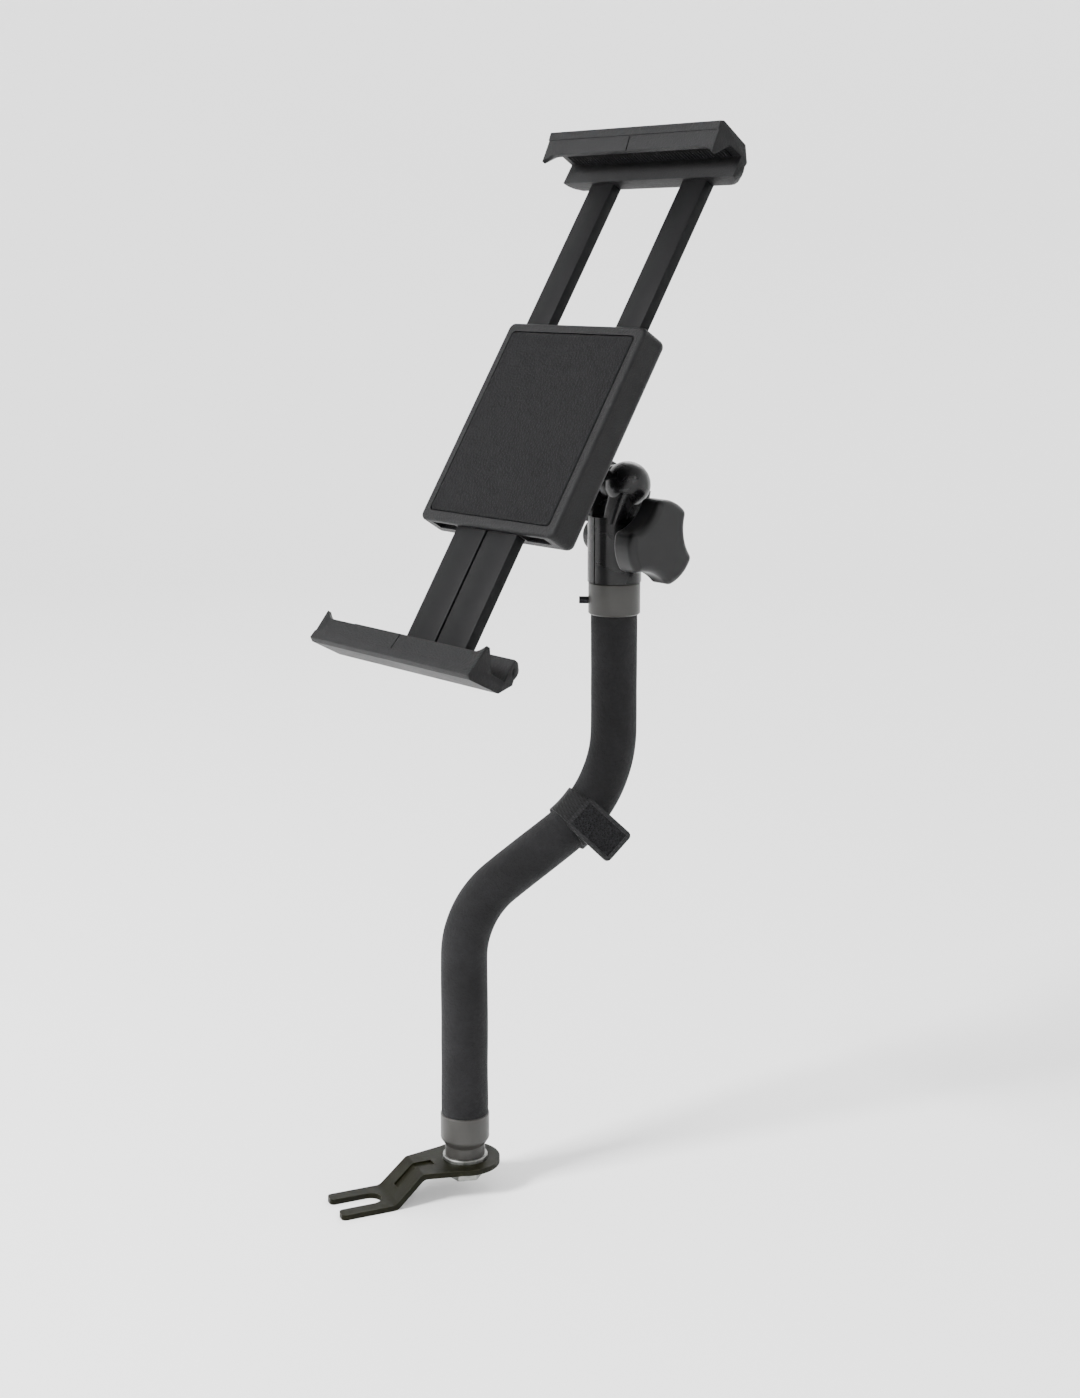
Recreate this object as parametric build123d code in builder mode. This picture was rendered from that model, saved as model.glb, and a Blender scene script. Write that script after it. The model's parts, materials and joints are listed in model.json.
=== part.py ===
# Seat bolt tablet mount: a forked steel bracket that goes under a car seat's bolt, an S-bent pole
# with a soft sleeve, a two-part ball clamp with a hand knob, and a holder with two sliding jaws.
#
# Frame: +Z is up. The origin is on the fork's underside, on the axis of the seat bolt when it sits
# in the round end of the slot. +X is the holder's width, to the right of someone who looks at the
# tablet, and the holder faces -Y and up. All lengths are in millimetres, all angles in degrees.

from build123d import *
from math import cos, degrees, radians, sin
import os

os.makedirs("parts", exist_ok=True)

# Fits and clearances
running_fit = 0.05          # radial gap of a shaft that turns in its bore
slide_fit = 0.2             # gap round a rail in its channel
seat_fit = 0.05             # gap round a piece that is pushed into its pocket
face_gap = 0.1              # gap between two faces that turn on each other

# Fork bracket
plate_thickness = 3.0
plate_rise = 14.0           # height of the eye's underside above the tines' underside
slot_width = 12.5           # takes the M12 bolt of a seat rail
tine_width = 7.5
tine_length = 20.0          # from the slot's round end to the tips
strap_width = 26.0
eye_radius = 19.0
eye_reach = 55.0            # from the seat bolt's axis to the pole's axis
ramp_start = 11.0           # where the ramp leaves the tines
ramp_end = 26.5             # where the ramp meets the eye plate
plate_bend = 5.0            # inside radius of the two bends
rib_width = 6.0
rib_depth = 1.2
rib_start = 15.0
rib_end = 36.0

# Base bolt, its nut and washers
bolt_radius = 5.0           # M10
bolt_head_flats = 17.0
bolt_head_height = 6.0
bolt_nut_height = 8.0
bolt_tail = 1.5             # thread that shows past the nut
lock_washer_radius = 9.0
lock_washer_thickness = 1.6
base_washer_radius = 12.2
base_washer_thickness = 2.0
base_washer_edge = 0.4

# Foot that closes the pole's lower end
foot_neck_radius = 10.8
foot_neck_height = 5.8
foot_cone_height = 3.8
foot_cup_radius = 13.3
foot_cup_height = 14.0
foot_floor = 7.0            # thickness under the nut
foot_socket_depth = 8.0     # how deep the tube stands in the cup
foot_chamfer = 0.5
nut_room_radius = 10.1

# Pole
tube_radius = 11.0
tube_wall = 1.5
sleeve_wall = 2.0
arm_azimuth = 73.2          # direction of the S-bend, from +X towards +Y
pole_offset = 89.0          # sideways step between the two upright ends
lower_straight = 88.0
lower_bend_radius = 46.0
upper_bend_radius = 65.0
bend_angle = 58.0           # slope of the middle stretch, from upright
upper_straight = 64.0

# Cable strap on the upper bend
cable_strap_angle = 47.0    # slope of the pole under the middle of the strap
cable_strap_width = 20.0
cable_strap_thickness = 1.4
cable_tab_length = 28.0
cable_tab_lap = 3.0
cable_tab_thickness = 2.2
cable_tab_corner = 1.5
cable_tab_lift = 1.0        # clears the sleeve where the pole curves towards the tab
cable_tab_turn = 28.0       # how far the tab's face looks up from level

# Top collar and its set screw
collar_radius = 14.2
collar_height = 18.0
collar_lip = 5.0            # ring above the end of the tube
collar_chamfer = 0.8
set_screw_radius = 2.0
set_screw_drop = 10.5       # below the collar's top
set_screw_reach = 5.0       # how far it stands out
set_screw_azimuth = 229.0

# Swivel post that the clamp halves hold
post_length = 30.0          # inside the collar and tube
post_neck_radius = 7.0
post_neck_height = 9.0
post_head_radius = 9.2
post_head_height = 4.0
post_chamfer = 1.0

# Clamp halves
clamp_radius = 14.7
clamp_body_height = 36.0
clamp_gap = 0.8             # slit between the halves
bolt_height = 24.2          # clamp bolt above the collar
ball_height = 53.6          # ball centre above the collar
ball_radius = 10.0
cup_radius = 12.6
cup_spread = 10.0           # each cup's outer centre from the middle
cup_gap = 9.2               # open slot that the stud's neck swings in
flare_start = 33.0          # the neck widens to the cups between these heights
flare_end = 50.0
flare_depth = 25.0          # front to back at its foot
flare_top_depth = 21.4
flare_step = 1.0            # how far its foot stands inside the round body
flare_top_step = 3.0        # how far its top stands inside the cup
flare_corner = 4.0
boss_radius = 9.0
boss_reach = 15.8           # flat seat of the bolt head and washer, from the middle

# Clamp bolt, spring and knob
clamp_bolt_radius = 3.0     # M6
clamp_bolt_head_radius = 7.3
clamp_bolt_head_height = 4.6
clamp_bolt_square = 6.6
clamp_bolt_square_depth = 4.0
clamp_bolt_end = 33.0
spring_wire = 0.6           # wire radius
spring_radius = 4.3
spring_turns = 4
spring_pocket_radius = 5.4
spring_pocket_depth = 5.0
knob_washer_radius = 8.0
knob_washer_thickness = 0.8
hub_radius = 10.5
hub_length = 7.6
knob_radius = 23.5
knob_thickness = 15.0
knob_valley_radius = 24.0
knob_valley_depth = 7.0
knob_valley_angle = 130.0   # direction of one valley, from +Y up to +Z
knob_edge = 4.0
knob_nut_flats = 10.0
knob_nut_height = 5.0

# Ball stud and the swivel behind the holder
tilt = 32.0                 # how far the holder leans back
ball_distance = 69.5        # ball centre behind the holder's front face
stud_up = 2.4               # stud axis above the middle of the holder
neck_radius = 4.0
neck_length = 12.0          # straight part of the neck, from the ball's centre outwards
stud_root_radius = 7.0
flange_radius = 12.4
flange_thickness = 4.0
swivel_boss_radius = 19.0
swivel_boss_height = 10.0
swivel_ring_thickness = 4.0
swivel_clearance = 0.3      # gap between the ring and the stud's cone
swivel_screw_circle = 15.8
swivel_screw_radius = 1.25
swivel_screw_head = 2.1
swivel_screw_length = 8.0
swivel_screw_count = 4
swivel_screw_angle = 45.0

# Holder housing
housing_width = 108.0
housing_height = 121.0
front_thickness = 7.5
back_thickness = 10.5
housing_corner = 4.0
front_edge = 2.0
back_edge = 4.0
pad_width = 97.0
pad_height = 110.0
pad_thickness = 1.5
pad_recess = 1.2
pad_corner = 2.5
housing_screw_inset = 5.5
housing_screw_radius = 1.5
housing_screw_head = 2.8
housing_screw_length = 13.0

# Rails
rail_front = 3.3            # depth of the rails behind the front face
rail_thickness = 6.5
rail_length = 121.0
outer_rail_width = 18.4
outer_rail_centre = 35.8
inner_rail_width = 23.6
inner_rail_centre = 12.5
rail_edge = 0.8
notch_pitch = 6.0
notch_count = 18
notch_width = 1.5
notch_depth = 0.6
detent_width = 8.0
detent_length = 24.0
detent_thickness = 0.8
detent_rise = 2.2

# Jaws
jaw_width = 132.0
upper_reach = 163.0         # floor of the upper jaw's groove above the middle of the holder
lower_reach = 137.0         # floor of the lower jaw's groove below it
block_height = 12.0
block_front = 0.5
block_back = 11.0
groove_width = 9.0
lip_height = 6.5
lip_front = 22.0
lip_rake = 2.5              # how far the lip's tip leans back
lip_thickness = 3.0
roof_thickness = 8.0
roof_fall = 1.5
back_step = 3.0
jaw_back_round = 3.0
jaw_lip_round = 1.2
rail_socket = 8.0
jaw_pad_thickness = 1.5
jaw_pad_inset = 6.0
jaw_pad_margin = 0.4
jaw_screw_radius = 1.5
jaw_screw_length = 5.0
jaw_screw_head = 3.0

# Levels that follow from the sizes above
eye_top = plate_rise + plate_thickness
foot_bottom = eye_top + base_washer_thickness
foot_cone_bottom = foot_bottom + foot_neck_height
foot_cup_bottom = foot_cone_bottom + foot_cone_height
sleeve_bottom = foot_cup_bottom + foot_cup_height
nut_bottom = foot_bottom + foot_floor
tube_bottom = sleeve_bottom - foot_socket_depth
tube_bore = tube_radius - tube_wall
sleeve_radius = tube_radius + sleeve_wall

slope = radians(bend_angle)
bend_radii = lower_bend_radius + upper_bend_radius
slant_length = (pole_offset - bend_radii * (1 - cos(slope))) / sin(slope)
lower_bend_z = sleeve_bottom + lower_straight
upper_bend_z = lower_bend_z + bend_radii * sin(slope) + slant_length * cos(slope)
sleeve_top = upper_bend_z + upper_straight
clamp_bottom = sleeve_top + collar_height
tube_top = clamp_bottom - collar_lip
bolt_z = clamp_bottom + bolt_height
ball_z = clamp_bottom + ball_height

# Planes: the side plane holds the fork's profile and the pole's bends
arm_x = cos(radians(arm_azimuth))
arm_y = sin(radians(arm_azimuth))
upper_reach_plan = eye_reach + pole_offset
side = Plane(origin=(0, 0, 0), x_dir=(arm_x, arm_y, 0), z_dir=(arm_y, -arm_x, 0))
plan = Plane(origin=(0, 0, 0), x_dir=(arm_x, arm_y, 0), z_dir=(0, 0, 1))
base_x = eye_reach * arm_x
base_y = eye_reach * arm_y
pole_x = upper_reach_plan * arm_x
pole_y = upper_reach_plan * arm_y
base_axis = Axis((base_x, base_y, 0), (0, 0, 1))
pole_axis = Axis((pole_x, pole_y, 0), (0, 0, 1))
base_section = Plane(origin=(base_x, base_y, 0), x_dir=(1, 0, 0), z_dir=(0, -1, 0))
pole_section = Plane(origin=(pole_x, pole_y, 0), x_dir=(1, 0, 0), z_dir=(0, -1, 0))
clamp_plane = Plane(origin=(pole_x, pole_y, clamp_bottom))
clamp_middle = Plane(origin=(pole_x, pole_y, bolt_z), x_dir=(0, 1, 0), z_dir=(1, 0, 0))
bolt_section = Plane(origin=(pole_x, pole_y, bolt_z), x_dir=(1, 0, 0), z_dir=(0, -1, 0))
bolt_axis = Axis((pole_x, pole_y, bolt_z), (1, 0, 0))

# The holder's own plane: x is its width, y runs up its length and z comes out of its front
lean = radians(tilt)
ball_point = Vector(pole_x, pole_y, ball_z)
front_dir = Vector(0, -cos(lean), sin(lean))
up_dir = Vector(0, sin(lean), cos(lean))
holder_point = ball_point + front_dir * ball_distance - up_dir * stud_up
holder = Plane(origin=holder_point, x_dir=(1, 0, 0), z_dir=front_dir)
jaw_profile_plane = Plane(origin=holder_point, x_dir=up_dir, z_dir=(1, 0, 0))
stud_section = Plane(origin=ball_point, x_dir=(1, 0, 0), z_dir=-up_dir)
stud_axis = Axis(ball_point, front_dir)
stud_plane = Plane(origin=ball_point, x_dir=(1, 0, 0), z_dir=front_dir)


# Fork bracket: a strap with a ramp, cut to its outline, with a slot and a pressed rib
with BuildPart() as fork_bracket:
    with BuildSketch(side):
        with BuildLine():
            under = Polyline(
                (-tine_length, 0),
                (ramp_start, 0),
                (ramp_end, plate_rise),
                (eye_reach + eye_radius, plate_rise),
            )
            offset(amount=plate_thickness, side=Side.LEFT)
        make_face()
    extrude(amount=eye_radius, both=True)
    bend_edges = fork_bracket.edges().filter_by(Axis(origin=(0, 0, 0), direction=side.z_dir))
    inner_bends = bend_edges.filter_by(
        lambda e: ramp_start - 3 < side.to_local_coords(e.center()).X < ramp_end + 3
    )
    fillet(inner_bends, radius=plate_bend)
    with BuildSketch(plan):
        with Locations((eye_reach, 0)):
            Circle(eye_radius)
        with BuildLine():
            Polyline(
                (-tine_length, -slot_width / 2 - tine_width),
                (slot_width / 2, -slot_width / 2 - tine_width),
                (ramp_end, -strap_width / 2),
                (eye_reach, -eye_radius),
                (eye_reach, eye_radius),
                (ramp_end, strap_width / 2),
                (slot_width / 2, slot_width / 2 + tine_width),
                (-tine_length, slot_width / 2 + tine_width),
                close=True,
            )
        make_face()
        with Locations((-tine_length, 0)):
            SlotCenterToCenter(2 * tine_length, slot_width, mode=Mode.SUBTRACT)
        with Locations((eye_reach, 0)):
            Circle(bolt_radius + running_fit, mode=Mode.SUBTRACT)
    extrude(amount=eye_top + 1, mode=Mode.INTERSECT)
    tip_edges = fork_bracket.edges().filter_by(Axis.Z).filter_by(
        lambda e: side.to_local_coords(e.center()).X < -tine_length + 0.1
    )
    fillet(tip_edges, radius=tine_width / 3)
    # The rib is pressed down from above: a groove on top and the same form below
    with BuildSketch(side):
        with BuildLine():
            Polyline(
                (rib_start, rib_start - ramp_start + plate_thickness - rib_depth),
                (ramp_end - plate_thickness / 3, eye_top - rib_depth),
                (rib_end, eye_top - rib_depth),
                (rib_end, eye_top + plate_thickness),
                (rib_start - plate_thickness, eye_top + plate_thickness),
                close=True,
            )
        make_face()
    extrude(amount=rib_width / 2, both=True, mode=Mode.SUBTRACT)
fork_bracket.part.label = "fork_bracket"
export_step(fork_bracket.part, "parts/fork_bracket.step")

# Base bolt: hexagon head under the eye, shank up through the foot
head_bottom = plate_rise - lock_washer_thickness - bolt_head_height
with BuildPart() as base_bolt:
    with BuildSketch(Plane(origin=(base_x, base_y, head_bottom))):
        RegularPolygon(bolt_head_flats / 2, 6, major_radius=False)
    extrude(amount=bolt_head_height)
    with BuildSketch(Plane(origin=(base_x, base_y, head_bottom + bolt_head_height))):
        Circle(bolt_radius)
    extrude(amount=nut_bottom + bolt_nut_height + bolt_tail - head_bottom - bolt_head_height)
    chamfer(base_bolt.faces().sort_by(Axis.Z)[-1].edges(), length=bolt_radius / 6)
base_bolt.part.label = "base_bolt"
export_step(base_bolt.part, "parts/base_bolt.step")

# Spring lock washer between the bolt head and the eye, split once
with BuildPart() as lock_washer:
    with BuildSketch(Plane(origin=(base_x, base_y, plate_rise - lock_washer_thickness))):
        Circle(lock_washer_radius)
        Circle(bolt_radius + seat_fit, mode=Mode.SUBTRACT)
        with Locations((lock_washer_radius, 0)):
            Rectangle(2 * lock_washer_radius, lock_washer_thickness / 2, mode=Mode.SUBTRACT)
    extrude(amount=lock_washer_thickness)
lock_washer.part.label = "lock_washer"
export_step(lock_washer.part, "parts/lock_washer.step")

# Bright plain washer between the eye and the foot
with BuildPart() as base_washer:
    with BuildSketch(Plane(origin=(base_x, base_y, eye_top))):
        Circle(base_washer_radius)
        Circle(bolt_radius + seat_fit, mode=Mode.SUBTRACT)
    extrude(amount=base_washer_thickness)
    chamfer(base_washer.faces().sort_by(Axis.Z)[-1].outer_wire().edges(), length=base_washer_edge)
base_washer.part.label = "base_washer"
export_step(base_washer.part, "parts/base_washer.step")

# Nut on the bolt, inside the foot
with BuildPart() as base_nut:
    with BuildSketch(Plane(origin=(base_x, base_y, nut_bottom))):
        RegularPolygon(bolt_head_flats / 2, 6, major_radius=False)
        Circle(bolt_radius, mode=Mode.SUBTRACT)
    extrude(amount=bolt_nut_height)
base_nut.part.label = "base_nut"
export_step(base_nut.part, "parts/base_nut.step")

# Foot: neck, cone and cup turned as one piece, with room for the nut and a step for the tube
with BuildPart() as base_foot:
    with BuildSketch(base_section):
        with BuildLine():
            Polyline(
                (bolt_radius + running_fit, foot_bottom),
                (foot_neck_radius, foot_bottom),
                (foot_neck_radius, foot_cone_bottom),
                (foot_cup_radius, foot_cup_bottom),
                (foot_cup_radius, sleeve_bottom),
                (tube_radius, sleeve_bottom),
                (tube_radius, tube_bottom),
                (nut_room_radius, tube_bottom),
                (nut_room_radius, nut_bottom),
                (bolt_radius + running_fit, nut_bottom),
                close=True,
            )
        make_face()
    revolve(axis=base_axis)
    rim = base_foot.edges().filter_by(GeomType.CIRCLE).sort_by(SortBy.RADIUS)[-2:]
    chamfer(rim, length=foot_chamfer)
base_foot.part.label = "base_foot"
export_step(base_foot.part, "parts/base_foot.step")


# Pole: straight, two bends with a slanted stretch between them, straight
def pole_path(bottom, top):
    """Draws the pole's centre line from one height to another, on the side plane."""
    with BuildLine(side) as line:
        lower = Line((eye_reach, bottom), (eye_reach, lower_bend_z))
        first = JernArc(lower @ 1, lower % 1, lower_bend_radius, -bend_angle)
        slant = PolarLine(first @ 1, slant_length, direction=first % 1)
        second = JernArc(slant @ 1, slant % 1, upper_bend_radius, bend_angle)
        Line(second @ 1, (upper_reach_plan, top))
    return line.wires()[0]


with BuildPart() as pole_tube:
    with BuildSketch(Plane(origin=(base_x, base_y, tube_bottom))):
        Circle(tube_radius)
        Circle(tube_bore, mode=Mode.SUBTRACT)
    sweep(path=pole_path(tube_bottom, tube_top))
    with BuildSketch(
        Plane(
            origin=(pole_x, pole_y, clamp_bottom - set_screw_drop),
            x_dir=(0, 0, 1),
            z_dir=(cos(radians(set_screw_azimuth)), sin(radians(set_screw_azimuth)), 0),
        )
    ):
        Circle(set_screw_radius + running_fit)
    extrude(amount=collar_radius, mode=Mode.SUBTRACT)
pole_tube.part.label = "pole_tube"
export_step(pole_tube.part, "parts/pole_tube.step")

with BuildPart() as pole_sleeve:
    with BuildSketch(Plane(origin=(base_x, base_y, sleeve_bottom))):
        Circle(sleeve_radius)
        Circle(tube_radius, mode=Mode.SUBTRACT)
    sweep(path=pole_path(sleeve_bottom, sleeve_top))
pole_sleeve.part.label = "pole_sleeve"
export_step(pole_sleeve.part, "parts/pole_sleeve.step")

# Cable strap: a band round the sleeve on the upper bend, with its free end standing off as a tab
strap_slope = radians(cable_strap_angle)
strap_span = cable_strap_width / upper_bend_radius
strap_first = strap_slope + strap_span / 2
strap_last = strap_slope - strap_span / 2


def bend_point(angle):
    """Point of the upper bend's centre line where the pole slopes by this angle from upright."""
    return (
        upper_reach_plan - upper_bend_radius * (1 - cos(angle)),
        upper_bend_z - upper_bend_radius * sin(angle),
    )


strap_middle = side.from_local_coords(bend_point(strap_slope))
strap_along = side.from_local_coords((sin(strap_slope), cos(strap_slope))) - side.origin
strap_low = side.from_local_coords(bend_point(strap_first))
strap_low_along = side.from_local_coords((sin(strap_first), cos(strap_first))) - side.origin
tab_plane = Plane(origin=strap_middle, x_dir=strap_along, z_dir=side.z_dir).rotated((-cable_tab_turn, 0, 0))
with BuildPart() as cable_strap:
    with BuildSketch(tab_plane.offset(sleeve_radius + cable_tab_lift)):
        with Locations((0, (cable_tab_lap - cable_tab_length) / 2)):
            RectangleRounded(cable_strap_width, cable_tab_length + cable_tab_lap, cable_tab_corner)
    extrude(amount=cable_tab_thickness)
    with BuildSketch(Plane(origin=strap_low, z_dir=strap_low_along)):
        Circle(sleeve_radius + cable_strap_thickness)
    with BuildLine(side) as strap_line:
        JernArc(
            start=bend_point(strap_first),
            tangent=(sin(strap_first), cos(strap_first)),
            radius=upper_bend_radius,
            arc_size=degrees(strap_span),
        )
    sweep(path=strap_line.wires()[0])
    with BuildSketch(Plane(origin=strap_low, z_dir=strap_low_along)):
        Circle(sleeve_radius)
    sweep(path=strap_line.wires()[0], mode=Mode.SUBTRACT)
cable_strap.part.label = "cable_strap"
export_step(cable_strap.part, "parts/cable_strap.step")

# Top collar: a ring on the tube's upper end, with a lip above the tube and a tapped hole
collar_side = Plane(
    origin=(pole_x, pole_y, clamp_bottom - set_screw_drop),
    x_dir=(0, 0, 1),
    z_dir=(cos(radians(set_screw_azimuth)), sin(radians(set_screw_azimuth)), 0),
)
post_radius = tube_bore - running_fit
with BuildPart() as top_collar:
    with BuildSketch(pole_section):
        with BuildLine():
            Polyline(
                (tube_radius, sleeve_top),
                (collar_radius, sleeve_top),
                (collar_radius, clamp_bottom),
                (tube_bore, clamp_bottom),
                (tube_bore, tube_top),
                (tube_radius, tube_top),
                close=True,
            )
        make_face()
    revolve(axis=pole_axis)
    outer_rims = top_collar.edges().filter_by(GeomType.CIRCLE).sort_by(SortBy.RADIUS)[-2:]
    chamfer(outer_rims, length=collar_chamfer)
    with BuildSketch(collar_side):
        Circle(set_screw_radius)
    extrude(amount=2 * collar_radius, mode=Mode.SUBTRACT)
top_collar.part.label = "top_collar"
export_step(top_collar.part, "parts/top_collar.step")

# Set screw that locks the swivel post, with a slotted outer end
set_screw_tip = post_radius + face_gap
with BuildPart() as collar_screw:
    with BuildSketch(collar_side.offset(set_screw_tip)):
        Circle(set_screw_radius)
    extrude(amount=collar_radius + set_screw_reach - set_screw_tip)
    with BuildSketch(collar_side.offset(collar_radius + set_screw_reach)):
        Rectangle(2 * set_screw_radius, set_screw_radius / 3)
    extrude(amount=-set_screw_radius / 2, mode=Mode.SUBTRACT)
collar_screw.part.label = "collar_screw"
export_step(collar_screw.part, "parts/collar_screw.step")

# Swivel post: turns in the tube below, is held by its head in the clamp above
post_bottom = clamp_bottom - post_length
neck_top = clamp_bottom + post_neck_height
post_top = neck_top + post_head_height
with BuildPart() as swivel_post:
    with BuildSketch(pole_section):
        with BuildLine():
            Polyline(
                (0, post_bottom),
                (post_radius, post_bottom),
                (post_radius, clamp_bottom),
                (post_neck_radius, clamp_bottom),
                (post_neck_radius, neck_top),
                (post_head_radius, neck_top),
                (post_head_radius, post_top),
                (0, post_top),
                close=True,
            )
        make_face()
    revolve(axis=pole_axis)
    chamfer(swivel_post.faces().sort_by(Axis.Z)[0].edges(), length=post_chamfer)
swivel_post.part.label = "swivel_post"
export_step(swivel_post.part, "parts/swivel_post.step")

# Clamp half, right: half of the round body, a flare and the outer cup of the ball socket
cup_centre = Plane(origin=(pole_x, pole_y, ball_z), x_dir=(1, 0, 0), z_dir=(0, -1, 0))
cup_axis = Axis((pole_x, pole_y, ball_z), (1, 0, 0))
half_gap = clamp_gap / 2
half_slot = cup_gap / 2
cup_tip = cup_spread + cup_radius
cup_rim = (cup_radius**2 - (cup_spread - half_slot) ** 2) ** 0.5
with BuildPart() as clamp_half_right:
    with BuildSketch(clamp_plane):
        Circle(clamp_radius)
        with Locations((half_gap - clamp_radius, 0)):
            Rectangle(2 * clamp_radius, 2 * clamp_radius, mode=Mode.SUBTRACT)
    extrude(amount=clamp_body_height)
    with BuildSketch(clamp_plane.offset(flare_start)):
        with Locations(((clamp_radius - flare_step + half_gap) / 2, 0)):
            RectangleRounded(clamp_radius - flare_step - half_gap, flare_depth, flare_corner)
    with BuildSketch(clamp_plane.offset(flare_end)):
        with Locations(((cup_tip - flare_top_step + half_slot) / 2, 0)):
            RectangleRounded(cup_tip - flare_top_step - half_slot, flare_top_depth, flare_corner)
    loft()
    with BuildSketch(cup_centre):
        with BuildLine():
            Line((half_slot, 0), (half_slot, cup_rim))
            ThreePointArc(
                (half_slot, cup_rim),
                (cup_spread, cup_radius),
                (cup_tip, 0),
            )
            Line((cup_tip, 0), (half_slot, 0))
        make_face()
    revolve(axis=cup_axis)
    # Slot for the stud's neck, ball socket, bore of the swivel post
    with BuildSketch(clamp_plane.offset(clamp_body_height)):
        Rectangle(cup_gap, 4 * cup_radius)
    extrude(amount=2 * ball_height, mode=Mode.SUBTRACT)
    with BuildSketch(cup_centre):
        with BuildLine():
            CenterArc((0, 0), ball_radius + running_fit, 0, 180)
            Line((-ball_radius - running_fit, 0), (ball_radius + running_fit, 0))
        make_face()
    revolve(axis=cup_axis, mode=Mode.SUBTRACT)
    with BuildSketch(clamp_plane):
        Circle(post_neck_radius + seat_fit)
    extrude(amount=post_neck_height, mode=Mode.SUBTRACT)
    with BuildSketch(clamp_plane.offset(post_neck_height)):
        Circle(post_head_radius + seat_fit)
    extrude(amount=post_head_height + seat_fit, mode=Mode.SUBTRACT)
    # Flat round boss for the washer, bolt hole and spring pocket
    with BuildSketch(clamp_middle.offset(half_gap)):
        Circle(boss_radius)
    extrude(amount=boss_reach - half_gap)
    with BuildSketch(clamp_middle):
        Circle(clamp_bolt_radius + running_fit)
    extrude(amount=2 * boss_reach, mode=Mode.SUBTRACT)
    with BuildSketch(clamp_middle):
        Circle(spring_pocket_radius)
    extrude(amount=spring_pocket_depth + half_gap, mode=Mode.SUBTRACT)
clamp_half_right.part.label = "clamp_half_right"
export_step(clamp_half_right.part, "parts/clamp_half_right.step")

# Clamp half, left: the same casting mirrored, with a square hole for the bolt's neck
square_start = boss_reach - clamp_bolt_square_depth
with BuildPart() as clamp_half_left:
    mirror(clamp_half_right.part, about=Plane(origin=(pole_x, pole_y, 0), z_dir=(1, 0, 0)))
    with BuildSketch(clamp_middle.offset(-boss_reach)):
        Rectangle(clamp_bolt_square + 2 * seat_fit, clamp_bolt_square + 2 * seat_fit)
    extrude(amount=clamp_bolt_square_depth + seat_fit, mode=Mode.SUBTRACT)
clamp_half_left.part.label = "clamp_half_left"
export_step(clamp_half_left.part, "parts/clamp_half_left.step")

# Clamp bolt: domed head, square neck, shank along +X
head_rise = clamp_bolt_head_height
head_sphere = (clamp_bolt_head_radius**2 + head_rise**2) / (2 * head_rise)
with BuildPart() as clamp_bolt:
    with BuildSketch(bolt_section):
        with BuildLine():
            Line((-boss_reach, 0), (-boss_reach, clamp_bolt_head_radius))
            RadiusArc(
                (-boss_reach, clamp_bolt_head_radius),
                (-boss_reach - head_rise, 0),
                -head_sphere,
            )
            Line((-boss_reach - head_rise, 0), (-boss_reach, 0))
        make_face()
    revolve(axis=bolt_axis)
    with BuildSketch(clamp_middle.offset(-boss_reach)):
        Rectangle(clamp_bolt_square, clamp_bolt_square)
    extrude(amount=clamp_bolt_square_depth)
    with BuildSketch(clamp_middle.offset(-square_start)):
        Circle(clamp_bolt_radius)
    extrude(amount=square_start + clamp_bolt_end)
clamp_bolt.part.label = "clamp_bolt"
export_step(clamp_bolt.part, "parts/clamp_bolt.step")

# Coil spring that opens the halves when the knob is loosened
spring_length = 2 * (spring_pocket_depth + half_gap) - 2 * spring_wire
with BuildPart() as clamp_spring:
    with BuildLine() as spring_line:
        Helix(
            pitch=spring_length / spring_turns,
            height=spring_length,
            radius=spring_radius,
            center=(pole_x - spring_length / 2, pole_y, bolt_z),
            direction=(1, 0, 0),
        )
    with BuildSketch(Plane(origin=spring_line.line @ 0, z_dir=spring_line.line % 0)):
        Circle(spring_wire)
    sweep(path=spring_line.line, is_frenet=True)
clamp_spring.part.label = "clamp_spring"
export_step(clamp_spring.part, "parts/clamp_spring.step")

# Washer under the knob
with BuildPart() as knob_washer:
    with BuildSketch(clamp_middle.offset(boss_reach)):
        Circle(knob_washer_radius)
        Circle(clamp_bolt_radius + running_fit, mode=Mode.SUBTRACT)
    extrude(amount=knob_washer_thickness)
knob_washer.part.label = "knob_washer"
export_step(knob_washer.part, "parts/knob_washer.step")

# Knob: a hub and a three-lobed grip with rounded edges
hub_start = boss_reach + knob_washer_thickness + face_gap
grip_start = hub_start + hub_length
valley_centre = knob_radius - knob_valley_depth + knob_valley_radius
with BuildPart() as clamp_knob:
    with BuildSketch(clamp_middle.offset(grip_start)):
        Circle(knob_radius)
        with PolarLocations(valley_centre, 3, start_angle=knob_valley_angle):
            Circle(knob_valley_radius, mode=Mode.SUBTRACT)
        fillet(vertices(), radius=knob_edge)
    extrude(amount=knob_thickness)
    outer_face = clamp_knob.faces().sort_by(Axis.X)[-1]
    inner_face = clamp_knob.faces().sort_by(Axis.X)[0]
    fillet(outer_face.edges(), radius=knob_edge)
    fillet(inner_face.edges(), radius=knob_edge / 2)
    with BuildSketch(clamp_middle.offset(hub_start)):
        Circle(hub_radius)
    extrude(amount=hub_length + knob_edge)
    with BuildSketch(clamp_middle.offset(hub_start)):
        Circle(clamp_bolt_radius + running_fit)
    extrude(amount=clamp_bolt_end - hub_start + face_gap, mode=Mode.SUBTRACT)
    with BuildSketch(clamp_middle.offset(hub_start)):
        RegularPolygon(knob_nut_flats / 2 + seat_fit, 6, major_radius=False)
    extrude(amount=knob_nut_height, mode=Mode.SUBTRACT)
clamp_knob.part.label = "clamp_knob"
export_step(clamp_knob.part, "parts/clamp_knob.step")

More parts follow.
